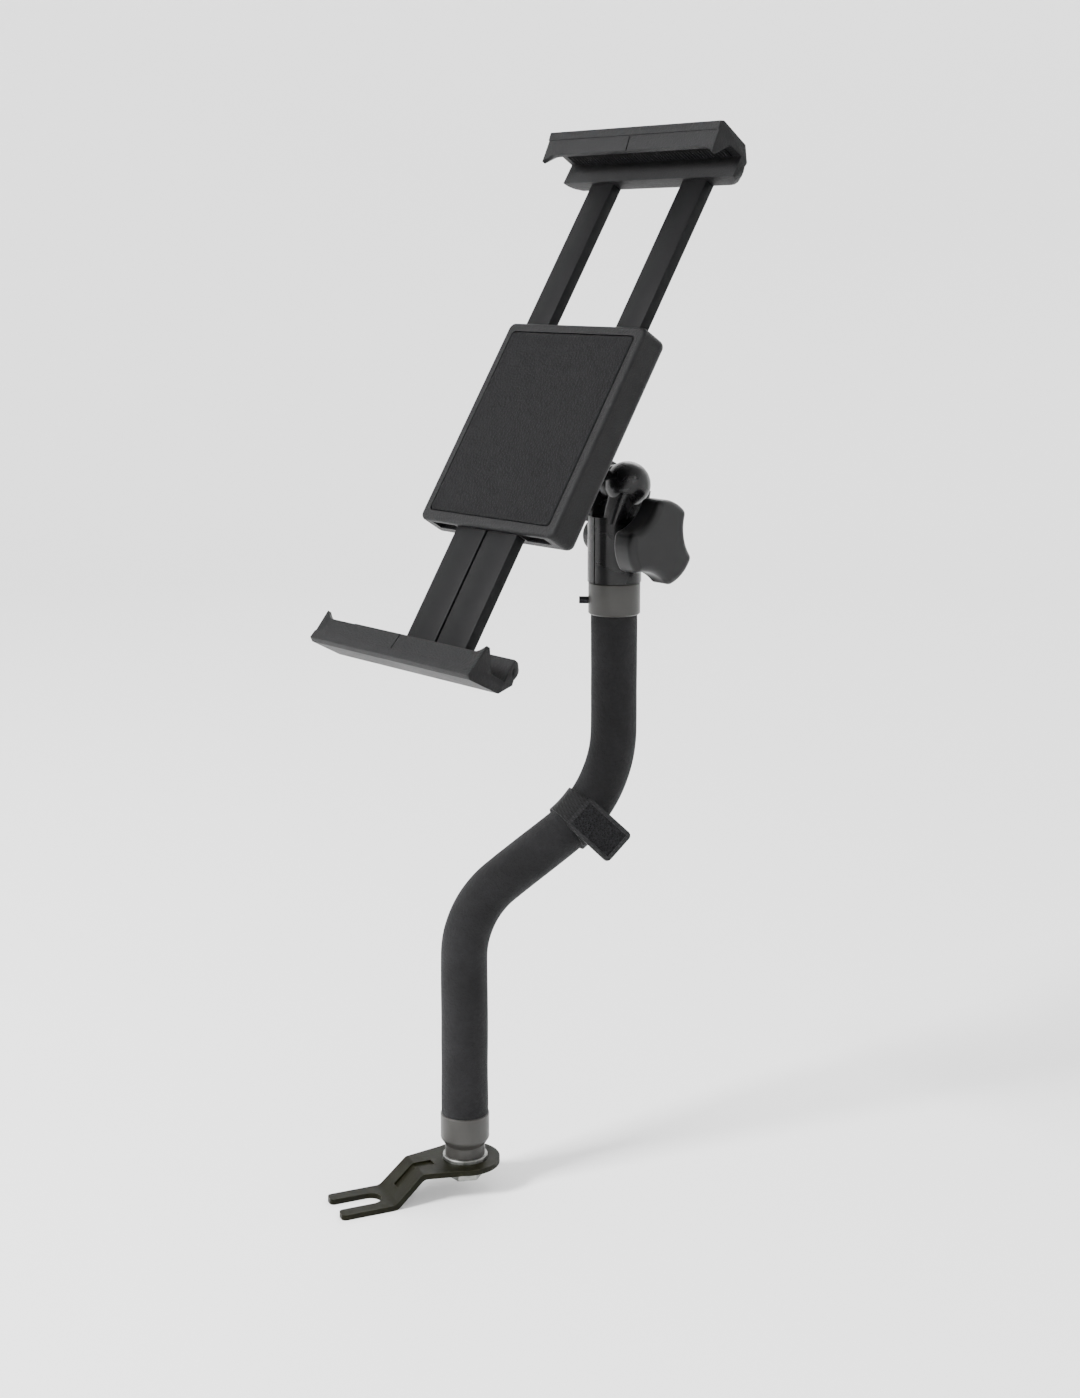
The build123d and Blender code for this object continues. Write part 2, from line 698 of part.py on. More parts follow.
# Nut moulded into the knob's hub
with BuildPart() as knob_nut:
    with BuildSketch(clamp_middle.offset(hub_start)):
        RegularPolygon(knob_nut_flats / 2, 6, major_radius=False)
        Circle(clamp_bolt_radius + running_fit, mode=Mode.SUBTRACT)
    extrude(amount=knob_nut_height)
knob_nut.part.label = "knob_nut"
export_step(knob_nut.part, "parts/knob_nut.step")

# Ball stud: ball, straight neck, cone and a round flange that the holder turns on
back_face = front_thickness + back_thickness
boss_end = ball_distance - back_face - swivel_boss_height
flange_start = boss_end + face_gap
flange_end = flange_start + flange_thickness
ball_shoulder = (ball_radius**2 - neck_radius**2) ** 0.5
with BuildPart() as ball_stud:
    with BuildSketch(stud_section):
        with BuildLine():
            ThreePointArc((0, -ball_radius), (ball_radius, 0), (neck_radius, ball_shoulder))
            Polyline(
                (neck_radius, ball_shoulder),
                (neck_radius, ball_radius + neck_length),
                (stud_root_radius, flange_start),
                (flange_radius, flange_start),
                (flange_radius, flange_end),
                (0, flange_end),
                (0, -ball_radius),
            )
        make_face()
    revolve(axis=stud_axis)
ball_stud.part.label = "ball_stud"
export_step(ball_stud.part, "parts/ball_stud.step")

# Swivel ring: keeps the stud's flange in the boss behind the holder
with BuildPart() as swivel_ring:
    with BuildSketch(stud_plane.offset(boss_end - swivel_ring_thickness)):
        Circle(swivel_boss_radius)
        Circle(stud_root_radius + swivel_clearance, mode=Mode.SUBTRACT)
        with PolarLocations(swivel_screw_circle, swivel_screw_count, start_angle=swivel_screw_angle):
            Circle(swivel_screw_radius, mode=Mode.SUBTRACT)
    extrude(amount=swivel_ring_thickness)
    back_rim = swivel_ring.faces().sort_by(stud_axis)[0].outer_wire().edges()
    chamfer(back_rim, length=swivel_ring_thickness / 4)
swivel_ring.part.label = "swivel_ring"
export_step(swivel_ring.part, "parts/swivel_ring.step")

# Four small screws that hold the ring
with BuildPart() as swivel_screws:
    with BuildSketch(stud_plane.offset(boss_end - swivel_ring_thickness)):
        with PolarLocations(swivel_screw_circle, swivel_screw_count, start_angle=swivel_screw_angle):
            Circle(swivel_screw_radius)
    extrude(amount=swivel_screw_length)
    with BuildSketch(stud_plane.offset(boss_end - swivel_ring_thickness)):
        with PolarLocations(swivel_screw_circle, swivel_screw_count, start_angle=swivel_screw_angle):
            Circle(swivel_screw_head)
    extrude(amount=-swivel_screw_radius)
swivel_screws.part.label = "swivel_screws"
export_step(swivel_screws.part, "parts/swivel_screws.step")

# Channels that the rails slide in, cut from both shells
front_axis = Axis(holder_point, front_dir)
rail_back = rail_front + rail_thickness
inner_span = 2 * inner_rail_centre + inner_rail_width + 2 * slide_fit
housing_half = housing_height / 2
screw_x = housing_width / 2 - housing_screw_inset
screw_y = housing_height / 2 - housing_screw_inset
detent_seat = rail_back + face_gap + detent_rise + detent_thickness
detent_y = housing_half - detent_length / 2 - housing_screw_inset
rails = [
    ("upper_rail_left", -outer_rail_centre, outer_rail_width, 1),
    ("upper_rail_right", outer_rail_centre, outer_rail_width, 1),
    ("lower_rail_left", -inner_rail_centre, inner_rail_width, -1),
    ("lower_rail_right", inner_rail_centre, inner_rail_width, -1),
]

# Front shell: a shallow tray with a recess for the pad
with BuildPart() as holder_front:
    with BuildSketch(holder.offset(-front_thickness)):
        RectangleRounded(housing_width, housing_height, housing_corner)
    extrude(amount=front_thickness)
    fillet(holder_front.faces().sort_by(front_axis)[-1].edges(), radius=front_edge)
    with BuildSketch(holder.offset(-pad_recess)):
        RectangleRounded(pad_width + 2 * seat_fit, pad_height + 2 * seat_fit, pad_corner)
    extrude(amount=2 * pad_recess, mode=Mode.SUBTRACT)
    with BuildSketch(holder.offset(-front_thickness)):
        with Locations((-outer_rail_centre, 0), (outer_rail_centre, 0)):
            Rectangle(outer_rail_width + 2 * slide_fit, 2 * housing_height)
        Rectangle(inner_span, 2 * housing_height)
    extrude(amount=front_thickness - rail_front + slide_fit, mode=Mode.SUBTRACT)
    with BuildSketch(holder.offset(-front_thickness)):
        with GridLocations(2 * screw_x, 2 * screw_y, 2, 2):
            Circle(housing_screw_radius)
    extrude(amount=housing_screw_length - back_thickness, mode=Mode.SUBTRACT)
holder_front.part.label = "holder_front"
export_step(holder_front.part, "parts/holder_front.step")

# Back shell: rounded at the back, with the swivel boss, the channels and the detents' pockets
with BuildPart() as holder_back:
    with BuildSketch(holder.offset(-back_face)):
        RectangleRounded(housing_width, housing_height, housing_corner)
    extrude(amount=back_thickness)
    fillet(holder_back.faces().sort_by(front_axis)[0].edges(), radius=back_edge)
    with BuildSketch(stud_plane.offset(boss_end)):
        Circle(swivel_boss_radius)
    extrude(amount=swivel_boss_height + back_edge)
    with BuildSketch(stud_plane.offset(boss_end)):
        Circle(flange_radius + running_fit)
    extrude(amount=flange_thickness + 2 * face_gap, mode=Mode.SUBTRACT)
    with BuildSketch(stud_plane.offset(boss_end)):
        with PolarLocations(swivel_screw_circle, swivel_screw_count, start_angle=swivel_screw_angle):
            Circle(swivel_screw_radius)
    extrude(amount=swivel_screw_length - swivel_ring_thickness, mode=Mode.SUBTRACT)
    with BuildSketch(holder.offset(-rail_back - slide_fit)):
        with Locations((-outer_rail_centre, 0), (outer_rail_centre, 0)):
            Rectangle(outer_rail_width + 2 * slide_fit, 2 * housing_height)
        Rectangle(inner_span, 2 * housing_height)
    extrude(amount=back_thickness, mode=Mode.SUBTRACT)
    with BuildSketch(holder.offset(-detent_seat)):
        for rail_name, centre, width, way in rails:
            with Locations((centre, way * detent_y)):
                Rectangle(detent_width + 2 * seat_fit, detent_length + 2 * seat_fit)
    extrude(amount=detent_seat - front_thickness, mode=Mode.SUBTRACT)
    with BuildSketch(holder.offset(-back_face)):
        with GridLocations(2 * screw_x, 2 * screw_y, 2, 2):
            Circle(housing_screw_radius)
    extrude(amount=back_thickness, mode=Mode.SUBTRACT)
    with BuildSketch(holder.offset(-back_face)):
        with GridLocations(2 * screw_x, 2 * screw_y, 2, 2):
            Circle(housing_screw_head + seat_fit)
    extrude(amount=housing_screw_radius, mode=Mode.SUBTRACT)
holder_back.part.label = "holder_back"
export_step(holder_back.part, "parts/holder_back.step")

# Four screws that join the shells from behind
with BuildPart() as housing_screws:
    with BuildSketch(holder.offset(-back_face)):
        with GridLocations(2 * screw_x, 2 * screw_y, 2, 2):
            Circle(housing_screw_radius)
    extrude(amount=housing_screw_length)
    with BuildSketch(holder.offset(-back_face)):
        with GridLocations(2 * screw_x, 2 * screw_y, 2, 2):
            Circle(housing_screw_head)
    extrude(amount=housing_screw_radius)
housing_screws.part.label = "housing_screws"
export_step(housing_screws.part, "parts/housing_screws.step")

# Soft pad on the front
with BuildPart() as holder_pad:
    with BuildSketch(holder.offset(-pad_recess)):
        RectangleRounded(pad_width, pad_height, pad_corner)
    extrude(amount=pad_thickness)
    fillet(holder_pad.faces().sort_by(front_axis)[-1].edges(), radius=pad_thickness / 4)
holder_pad.part.label = "holder_pad"
export_step(holder_pad.part, "parts/holder_pad.step")

# Rails: flat bars with eased front edges, notched on the back, screwed into the jaws
jaw_screw_drop = block_height - rail_socket / 2
for rail_name, centre, width, way in rails:
    reach = upper_reach if way > 0 else lower_reach
    rail_tip = way * (reach - block_height + rail_socket)
    rail_middle = rail_tip - way * rail_length / 2
    with BuildPart() as rail:
        with BuildSketch(holder.offset(-rail_back)):
            with Locations((centre, rail_middle)):
                Rectangle(width, rail_length)
        extrude(amount=rail_thickness)
        long_edges = rail.edges().filter_by(Axis(origin=(0, 0, 0), direction=up_dir))
        chamfer(long_edges.sort_by(front_axis)[-2:], length=rail_edge)
        with BuildSketch(holder.offset(-rail_back)):
            with Locations((centre, rail_middle)):
                with GridLocations(0, notch_pitch, 1, notch_count):
                    Rectangle(2 * width, notch_width)
        extrude(amount=notch_depth, mode=Mode.SUBTRACT)
        with BuildSketch(holder.offset(-rail_back)):
            with Locations((centre, way * (reach - jaw_screw_drop))):
                Circle(jaw_screw_radius)
        extrude(amount=jaw_screw_length - block_back + rail_back, mode=Mode.SUBTRACT)
    rail.part.label = rail_name
    export_step(rail.part, "parts/" + rail_name + ".step")

# Detent springs: bowed strips in the back shell that press on the rails' notches
for rail_name, centre, width, way in rails:
    detent_point = holder.from_local_coords((centre, way * detent_y, -detent_seat))
    with BuildPart() as detent:
        with BuildSketch(Plane(origin=detent_point, x_dir=up_dir, z_dir=(1, 0, 0))):
            with BuildLine():
                half = detent_length / 2
                ThreePointArc((-half, 0), (0, detent_rise), (half, 0))
                Line((half, 0), (half, detent_thickness))
                ThreePointArc(
                    (half, detent_thickness),
                    (0, detent_rise + detent_thickness),
                    (-half, detent_thickness),
                )
                Line((-half, detent_thickness), (-half, 0))
            make_face()
        extrude(amount=detent_width / 2, both=True)
    detent_name = rail_name.replace("rail", "detent")
    detent.part.label = detent_name
    export_step(detent.part, "parts/" + detent_name + ".step")

# Jaws: a block that holds the rails' ends, a roof and a lip that hooks over the tablet's edge
jaws = [
    ("upper_jaw", upper_reach, 1, outer_rail_centre, outer_rail_width),
    ("lower_jaw", lower_reach, -1, inner_rail_centre, inner_rail_width),
]
for jaw_name, reach, way, centre, width in jaws:
    with BuildPart() as jaw:
        with BuildSketch(jaw_profile_plane):
            with BuildLine():
                Polyline(
                    (way * (reach - block_height), -block_back),
                    (way * (reach - back_step), -block_back),
                    (way * reach, -block_back / 2),
                    (way * (reach + roof_thickness - roof_fall), 0),
                    (way * (reach + roof_thickness), lip_front - lip_rake),
                    (way * (reach + roof_thickness - roof_fall), lip_front),
                    (way * (reach - lip_height), lip_front - lip_rake),
                    (way * (reach - lip_height), lip_front - lip_rake - lip_thickness),
                    (way * reach, groove_width),
                    (way * reach, -block_front),
                    (way * (reach - block_height), -block_front),
                    close=True,
                )
            make_face()
        extrude(amount=jaw_width / 2, both=True)
        jaw_edges = jaw.edges().filter_by(Axis.X)
        fillet(jaw_edges.sort_by(front_axis)[:2], radius=jaw_back_round)
        fillet(jaw.edges().filter_by(Axis.X).sort_by(front_axis)[-2:], radius=jaw_lip_round)
        with BuildSketch(holder.offset(-rail_back - seat_fit)):
            with Locations((-centre, way * (reach - block_height)), (centre, way * (reach - block_height))):
                Rectangle(width + 2 * seat_fit, 2 * (rail_socket + seat_fit))
        extrude(amount=rail_thickness + 2 * seat_fit, mode=Mode.SUBTRACT)
        with BuildSketch(holder.offset(-block_back)):
            with Locations(
                (-centre, way * (reach - jaw_screw_drop)), (centre, way * (reach - jaw_screw_drop))
            ):
                Circle(jaw_screw_radius)
        extrude(amount=block_back - rail_back, mode=Mode.SUBTRACT)
    jaw.part.label = jaw_name
    export_step(jaw.part, "parts/" + jaw_name + ".step")

    # Soft strip on the floor of the jaw's groove
    with BuildPart() as jaw_pad:
        with BuildSketch(jaw_profile_plane):
            with Locations((way * (reach - jaw_pad_thickness / 2), groove_width / 2)):
                Rectangle(jaw_pad_thickness, groove_width - 2 * jaw_pad_margin)
        extrude(amount=jaw_width / 2 - jaw_pad_inset, both=True)
    jaw_pad.part.label = jaw_name + "_pad"
    export_step(jaw_pad.part, "parts/" + jaw_name + "_pad.step")

    # Two screws from behind, one into each rail
    with BuildPart() as jaw_screws:
        with BuildSketch(holder.offset(-block_back)):
            with Locations(
                (-centre, way * (reach - jaw_screw_drop)), (centre, way * (reach - jaw_screw_drop))
            ):
                Circle(jaw_screw_radius)
        extrude(amount=jaw_screw_length)
        with BuildSketch(holder.offset(-block_back)):
            with Locations(
                (-centre, way * (reach - jaw_screw_drop)), (centre, way * (reach - jaw_screw_drop))
            ):
                Circle(jaw_screw_head)
        extrude(amount=-jaw_screw_radius)
    jaw_screws.part.label = jaw_name + "_screws"
    export_step(jaw_screws.part, "parts/" + jaw_name + "_screws.step")
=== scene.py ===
"""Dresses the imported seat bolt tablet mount: finishes, soft parts, small screws and a studio."""

import json
import math

import bpy
from mathutils import Matrix, Vector


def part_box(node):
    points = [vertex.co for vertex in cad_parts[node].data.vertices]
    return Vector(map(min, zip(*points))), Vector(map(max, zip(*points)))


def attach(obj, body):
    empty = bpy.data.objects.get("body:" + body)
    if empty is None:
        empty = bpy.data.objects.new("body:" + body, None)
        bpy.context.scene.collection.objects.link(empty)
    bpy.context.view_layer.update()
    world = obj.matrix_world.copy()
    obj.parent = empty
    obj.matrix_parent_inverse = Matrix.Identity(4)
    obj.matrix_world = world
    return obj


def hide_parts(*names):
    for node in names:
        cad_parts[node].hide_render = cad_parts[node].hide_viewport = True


bl_info = {
    "name": "Seat Bolt Tablet Mount",
    "version": (1, 0, 0),
    "blender": (4, 5, 0),
    "location": "View3D > Sidebar > Tablet Mount",
    "description": "Finishes, soft parts, small screws and a studio for a pole-mounted tablet holder",
    "category": "Object",
}

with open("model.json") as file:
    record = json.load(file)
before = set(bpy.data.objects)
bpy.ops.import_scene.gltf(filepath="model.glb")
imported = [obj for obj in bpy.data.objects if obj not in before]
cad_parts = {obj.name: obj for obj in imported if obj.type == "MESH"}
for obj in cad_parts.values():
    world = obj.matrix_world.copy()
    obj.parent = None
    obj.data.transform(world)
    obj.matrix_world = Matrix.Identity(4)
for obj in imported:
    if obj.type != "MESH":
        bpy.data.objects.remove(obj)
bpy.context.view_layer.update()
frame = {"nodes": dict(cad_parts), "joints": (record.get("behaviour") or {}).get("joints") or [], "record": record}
nodes = frame["nodes"]
joints = {joint["name"]: joint for joint in frame["joints"]}

# Places and directions that the joints give; the holder's own axes are right, up and front
base_point = Vector(joints["pole_swivel"]["pos_m"])
neck_point = Vector(joints["arm_swivel"]["pos_m"])
front_dir = Vector(joints["holder_turn"]["axis"]).normalized()
up_dir = Vector(joints["upper_jaw_slide"]["axis"]).normalized()
right_dir = Vector((1, 0, 0))
upright = Vector((0, 0, 1))
arm_dir = Vector((neck_point.x - base_point.x, neck_point.y - base_point.y, 0)).normalized()
side_dir = arm_dir.cross(upright)


# ---------------------------------------------------------------- sizes and colours

def linear(code):
    """Scene colour of an sRGB hex value."""
    parts = [int(code[i:i + 2], 16) / 255 for i in (1, 3, 5)]
    return tuple(c / 12.92 if c <= 0.04045 else ((c + 0.055) / 1.055) ** 2.4 for c in parts)


def length(name, text, default):
    """A size in metres, set in the panel."""
    return bpy.props.FloatProperty(
        name=name, description=text, default=default, min=0, precision=4, unit="LENGTH", subtype="DISTANCE"
    )


def colour(name, text, code):
    """A base colour, set in the panel, from its sRGB hex value."""
    return bpy.props.FloatVectorProperty(
        name=name, description=text, default=linear(code), min=0, max=1, size=3, subtype="COLOR"
    )


class MountSleeve(bpy.types.PropertyGroup):
    """Foam sleeve on the pole and the strap round it."""
    radius: length("Radius", "Outside radius of the sleeve", 0.013)
    wall: length("Wall", "Thickness of the sleeve", 0.0019)
    lower_straight: length("Lower straight", "Upright length below the bends", 0.088)
    upper_straight: length("Upper straight", "Upright length above the bends", 0.064)
    lower_radius: length("Lower bend", "Radius of the lower bend's centre line", 0.046)
    upper_radius: length("Upper bend", "Radius of the upper bend's centre line", 0.065)
    bend: bpy.props.FloatProperty(
        name="Bend", description="Slope of the middle stretch", default=math.radians(58), subtype="ANGLE"
    )
    unevenness: length("Unevenness", "How far the foam's surface wanders", 0.0006)
    strap_width: length("Strap width", "Width of the cable strap", 0.020)
    strap_thickness: length("Strap thickness", "Thickness of the strap's band", 0.0013)
    strap_slope: bpy.props.FloatProperty(
        name="Strap place", description="Slope of the pole under the strap", default=math.radians(47), subtype="ANGLE"
    )
    tab_length: length("Tab length", "Free end of the strap", 0.031)
    tab_thickness: length("Tab thickness", "Thickness of the free end", 0.0021)
    tab_border: length("Tab border", "Width of the binding round the tab's hook pile", 0.0023)
    tab_bend: bpy.props.FloatProperty(
        name="Tab bend", description="How far the free end curls", default=math.radians(10), subtype="ANGLE"
    )
    tab_turn: bpy.props.FloatProperty(
        name="Tab turn", description="How far the tab's face looks up", default=math.radians(28), subtype="ANGLE"
    )


class MountFace(bpy.types.PropertyGroup):
    """Rubber facings and small screws of the holder."""
    pad_corner: length("Pad corner", "Corner radius of the face pad", 0.0025)
    pad_gap: length("Pad gap", "Gap between the pad and the rim round it", 0.0005)
    pad_edge: length("Pad edge", "Rounding of the face pad's front edge", 0.0009)
    rib_pitch: length("Rib pitch", "Distance between the ribs of a jaw's strip", 0.0024)
    rib_height: length("Rib height", "Height of those ribs", 0.0004)
    cross_width: length("Cross width", "Width of a screw's cross recess", 0.0007)


class MountJaws(bpy.types.PropertyGroup):
    """Hooked jaws and the rails they slide on."""
    roof: length("Roof", "Height of a jaw's roof above the floor of its groove", 0.008)
    lip_front: length("Lip front", "How far the lip stands out from the holder's face", 0.022)
    lip_drop: length("Lip drop", "How far the lip hooks over the tablet", 0.0065)
    lip_rake: length("Lip rake", "How far the lip's tip leans back", 0.0025)
    lip_thickness: length("Lip thickness", "Thickness of the lip's tip", 0.003)
    band: length("Band", "Height of the band above the lip's face", 0.0045)
    step: length("Step", "How far the lip's face stands behind the band", 0.0006)
    horn: length("Horn", "Height of the horn at each end of the lip", 0.004)
    horn_length: length("Horn length", "Length of that horn", 0.007)
    seam: length("Seam", "Width and depth of the parting groove in the middle of the lip", 0.0007)
    back_corner: length("Back corner", "Corner radius of the block's back, seen from above", 0.009)
    edge: length("Edge", "Rounding of the jaws' edges", 0.0007)
    notch_pitch: length("Notch pitch", "Distance between the notches in a rail's back", 0.006)
    notch_width: length("Notch width", "Width of a notch along the rail", 0.0015)
    notch_span: length("Notch span", "Width of a notch across the rail", 0.011)
    notch_depth: length("Notch depth", "Depth of a notch", 0.0006)


class MountColours(bpy.types.PropertyGroup):
    """Base colours of the finishes."""
    housing: colour("Housing", "Textured ABS of the holder", "#0b0b0c")
    rails: colour("Rails", "Painted steel rails", "#070708")
    pad: colour("Pad", "Rubber facings", "#080809")
    sleeve: colour("Sleeve", "Foam rubber sleeve", "#0b0b0c")
    strap: colour("Strap", "Woven strap", "#09090a")
    clamp: colour("Clamp", "Gloss nylon of the ball clamp", "#0a0a0b")
    knob: colour("Knob", "Moulded knob", "#040405")
    collar: colour("Collar", "Grey painted collars", "#282725")
    fork: colour("Fork", "Olive black powder coat", "#0e0e05")


class MountStudio(bpy.types.PropertyGroup):
    """Stage, lights and camera."""
    floor: colour("Floor", "Pale floor and wall", "#fafafa")
    key_power: bpy.props.FloatProperty(
        name="Key light", description="Power of the key light", default=190, unit="POWER"
    )
    fill_power: bpy.props.FloatProperty(
        name="Fill light", description="Power of the light behind; the one at the side has half", default=22,
        unit="POWER",
    )
    sky: bpy.props.FloatProperty(name="Room light", description="Strength of the even white light", default=1.0)


# ---------------------------------------------------------------- materials
# A noise's scale is its number of features per metre: at 1000 they are 1 mm across. A wave's bands along z
# stand 0.31 m apart over its scale.

def add_node(tree, kind, inputs=None, **settings):
    """Adds a node, sets it up, and sets or links its inputs."""
    made = tree.nodes.new(kind)
    for name, value in settings.items():
        setattr(made, name, value)
    for name, value in (inputs or {}).items():
        if isinstance(value, bpy.types.NodeSocket):
            tree.links.new(value, made.inputs[name])
        else:
            made.inputs[name].default_value = value
    return made


def start_material(name, base, roughness, ior=None, specular=None, metallic=0.0):
    """A material with its shader, and the tree and object coordinates that its pattern needs."""
    shader = {"Base Color": (*base, 1), "Roughness": roughness, "Metallic": metallic}
    if ior:
        shader["IOR"] = ior
    if specular:
        shader["Specular IOR Level"] = specular
    made = bpy.data.materials.new(name)
    made.use_nodes = True
    made.diffuse_color = (*base, 1)
    tree = made.node_tree
    tree.nodes.clear()
    skin = add_node(tree, "ShaderNodeBsdfPrincipled", shader)
    add_node(tree, "ShaderNodeOutputMaterial", {"Surface": skin.outputs[0]})
    place = add_node(tree, "ShaderNodeTexCoord").outputs["Object"]
    return made, tree, skin, place


def noise(tree, place, scale, detail, **inputs):
    """Fractal noise, as a factor."""
    made = add_node(tree, "ShaderNodeTexNoise", {"Vector": place, "Scale": scale, "Detail": detail, **inputs})
    return made.outputs["Fac"]


def multiply(tree, first, second):
    """The product of two factors."""
    return add_node(tree, "ShaderNodeMath", {0: first, 1: second}, operation="MULTIPLY").outputs[0]


def add_sheen(skin, weight, roughness):
    """The soft light edge that short fibres or open pores give."""
    skin.inputs["Sheen Weight"].default_value = weight
    skin.inputs["Sheen Roughness"].default_value = roughness


def shades(base, low, high):
    """Darker and lighter copies of a colour, for a colour ramp's two ends."""
    return (*[c * low for c in base], 1), (*[min(c * high, 1) for c in base], 1)


def tint(tree, skin, factor, base, low, high, start=0.35, end=0.65):
    """Varies the shader's base colour between two shades with a pattern."""
    ramp = add_node(tree, "ShaderNodeValToRGB", {"Fac": factor})
    ramp.color_ramp.elements[0].position = start
    ramp.color_ramp.elements[1].position = end
    ramp.color_ramp.elements[0].color, ramp.color_ramp.elements[1].color = shades(base, low, high)
    tree.links.new(ramp.outputs["Color"], skin.inputs["Base Color"])


def roughen(tree, skin, factor, low, high):
    """Varies the shader's roughness between two values with a pattern."""
    spread = add_node(tree, "ShaderNodeMapRange", {"Value": factor, "To Min": low, "To Max": high})
    tree.links.new(spread.outputs["Result"], skin.inputs["Roughness"])


def relief(tree, skin, height, depth, strength=1.0):
    """Raises the surface by a pattern, depth in metres."""
    bump = add_node(tree, "ShaderNodeBump", {"Height": height, "Distance": depth, "Strength": strength})
    tree.links.new(bump.outputs["Normal"], skin.inputs["Normal"])


def textured_abs(name, base):
    """Moulded ABS from a spark-eroded tool: an even fine grain that spreads the light."""
    made, tree, skin, place = start_material(name, base, 0.5, 1.53, 0.14)
    # The real grain is about 0.3 mm; it is drawn at 1.1 mm, which is what the picture can show.
    # The cloudiness of handling and moulding is about 36 mm across.
    grain = noise(tree, place, 900, 3, Roughness=0.65)
    cloud = noise(tree, place, 28, 3)
    tint(tree, skin, cloud, base, 0.86, 1.16)
    roughen(tree, skin, cloud, 0.42, 0.6)
    relief(tree, skin, grain, 0.0003)
    return made


def painted_rail(name, base):
    """Satin powder coat on flat steel bars, with long faint rub marks where they slide."""
    made, tree, skin, place = start_material(name, base, 0.54, 1.5, 0.1)
    # Rub marks 1.4 mm wide and 62 mm long, laid along the holder's lean; orange peel 0.9 mm
    along = add_node(
        tree, "ShaderNodeMapping", {"Vector": place, "Rotation": (math.radians(-32), 0, 0), "Scale": (700, 700, 16)}
    )
    rubs = noise(tree, along.outputs[0], 1, 2)
    peel = noise(tree, place, 1100, 2)
    tint(tree, skin, rubs, base, 0.84, 1.2)
    roughen(tree, skin, rubs, 0.46, 0.62)
    relief(tree, skin, peel, 0.00006, 0.5)
    return made


def facing_rubber(name, base):
    """Pressed rubber sheet: dull, with a pebbled skin and a little dust in it."""
    made, tree, skin, place = start_material(name, base, 0.78, 1.52, 0.12)
    # Pebbles about 0.5 mm across, drawn at 1.3 mm, and dust in specks of 2.4 mm and less
    pebble = add_node(tree, "ShaderNodeTexVoronoi", {"Vector": place, "Scale": 760, "Randomness": 1.0})
    dust = noise(tree, place, 420, 6, Roughness=0.7)
    tint(tree, skin, dust, base, 0.5, 1.9)
    roughen(tree, skin, dust, 0.7, 0.9)
    relief(tree, skin, pebble.outputs["Distance"], 0.0003)
    return made


def foam_sleeve(name, base):
    """Foam rubber grip sleeve: open matte skin with fine pores and a soft sheen at its edges."""
    made, tree, skin, place = start_material(name, base, 0.86, 1.45, 0.2)
    add_sheen(skin, 0.06, 0.6)
    skin.inputs["Sheen Tint"].default_value = (0.5, 0.5, 0.52, 1)
    # Pores 1.6 mm across and finer, in patches of 22 mm
    pores = noise(tree, place, 620, 5, Roughness=0.75)
    cloud = noise(tree, place, 46, 4)
    tint(tree, skin, multiply(tree, pores, cloud), base, 0.45, 2.0, 0.14, 0.4)
    relief(tree, skin, pores, 0.0005)
    return made


def woven_nylon(name, base):
    """Woven nylon tape: ribs of thread across its width, with a faint sheen."""
    made, tree, skin, place = start_material(name, base, 0.7, 1.53, 0.15)
    add_sheen(skin, 0.03, 0.45)
    # Two sets of threads across each other, 1.7 and 1.8 mm apart
    weave = add_node(
        tree, "ShaderNodeTexWave", {"Vector": place, "Scale": 210, "Distortion": 0.4}, bands_direction="DIAGONAL"
    )
    cross = add_node(
        tree, "ShaderNodeTexWave", {"Vector": place, "Scale": 170, "Distortion": 0.3}, bands_direction="Z"
    )
    threads = multiply(tree, weave.outputs["Fac"], cross.outputs["Fac"])
    tint(tree, skin, threads, base, 0.7, 1.5, 0.1, 0.9)
    relief(tree, skin, threads, 0.0003, 0.7)
    return made


def hook_pile(name, base):
    """Hook pile of a strap's closing face: a dark field of tiny loops."""
    made, tree, skin, place = start_material(name, base, 0.95, 1.4, 0.1)
    # Loops 1.1 mm across
    loops = add_node(tree, "ShaderNodeTexVoronoi", {"Vector": place, "Scale": 900, "Randomness": 0.8})
    tint(tree, skin, loops.outputs["Distance"], base, 0.45, 1.5, 0.1, 0.75)
    relief(tree, skin, loops.outputs["Distance"], 0.0005)
    return made


def gloss_nylon(name, base, rough=0.24):
    """Glass-filled nylon moulding with a polished skin: deep black, sharp reflections, faint flow marks."""
    made, tree, skin, place = start_material(name, base, rough, 1.53, 0.2)
    skin.inputs["Coat Weight"].default_value = 0.06
    skin.inputs["Coat Roughness"].default_value = 0.08
    # Flow marks 14 mm across, and a skin that waves every 2 mm
    flow = noise(tree, place, 70, 4, Distortion=0.6)
    skin_grain = noise(tree, place, 480, 2)
    tint(tree, skin, flow, base, 0.8, 1.25)
    roughen(tree, skin, flow, rough * 0.75, rough * 1.5)
    relief(tree, skin, skin_grain, 0.00004, 0.5)
    return made


def enamel(name, base, rough=0.38):
    """Stoved enamel on turned metal: an even satin coat with a slight orange peel."""
    made, tree, skin, place = start_material(name, base, rough, 1.5, 0.3)
    # Orange peel 1.4 mm across, in clouds of 17 mm
    peel = noise(tree, place, 700, 2)
    cloud = noise(tree, place, 60, 3)
    tint(tree, skin, cloud, base, 0.88, 1.15)
    roughen(tree, skin, cloud, rough * 0.85, rough * 1.25)
    relief(tree, skin, peel, 0.00006, 0.5)
    return made


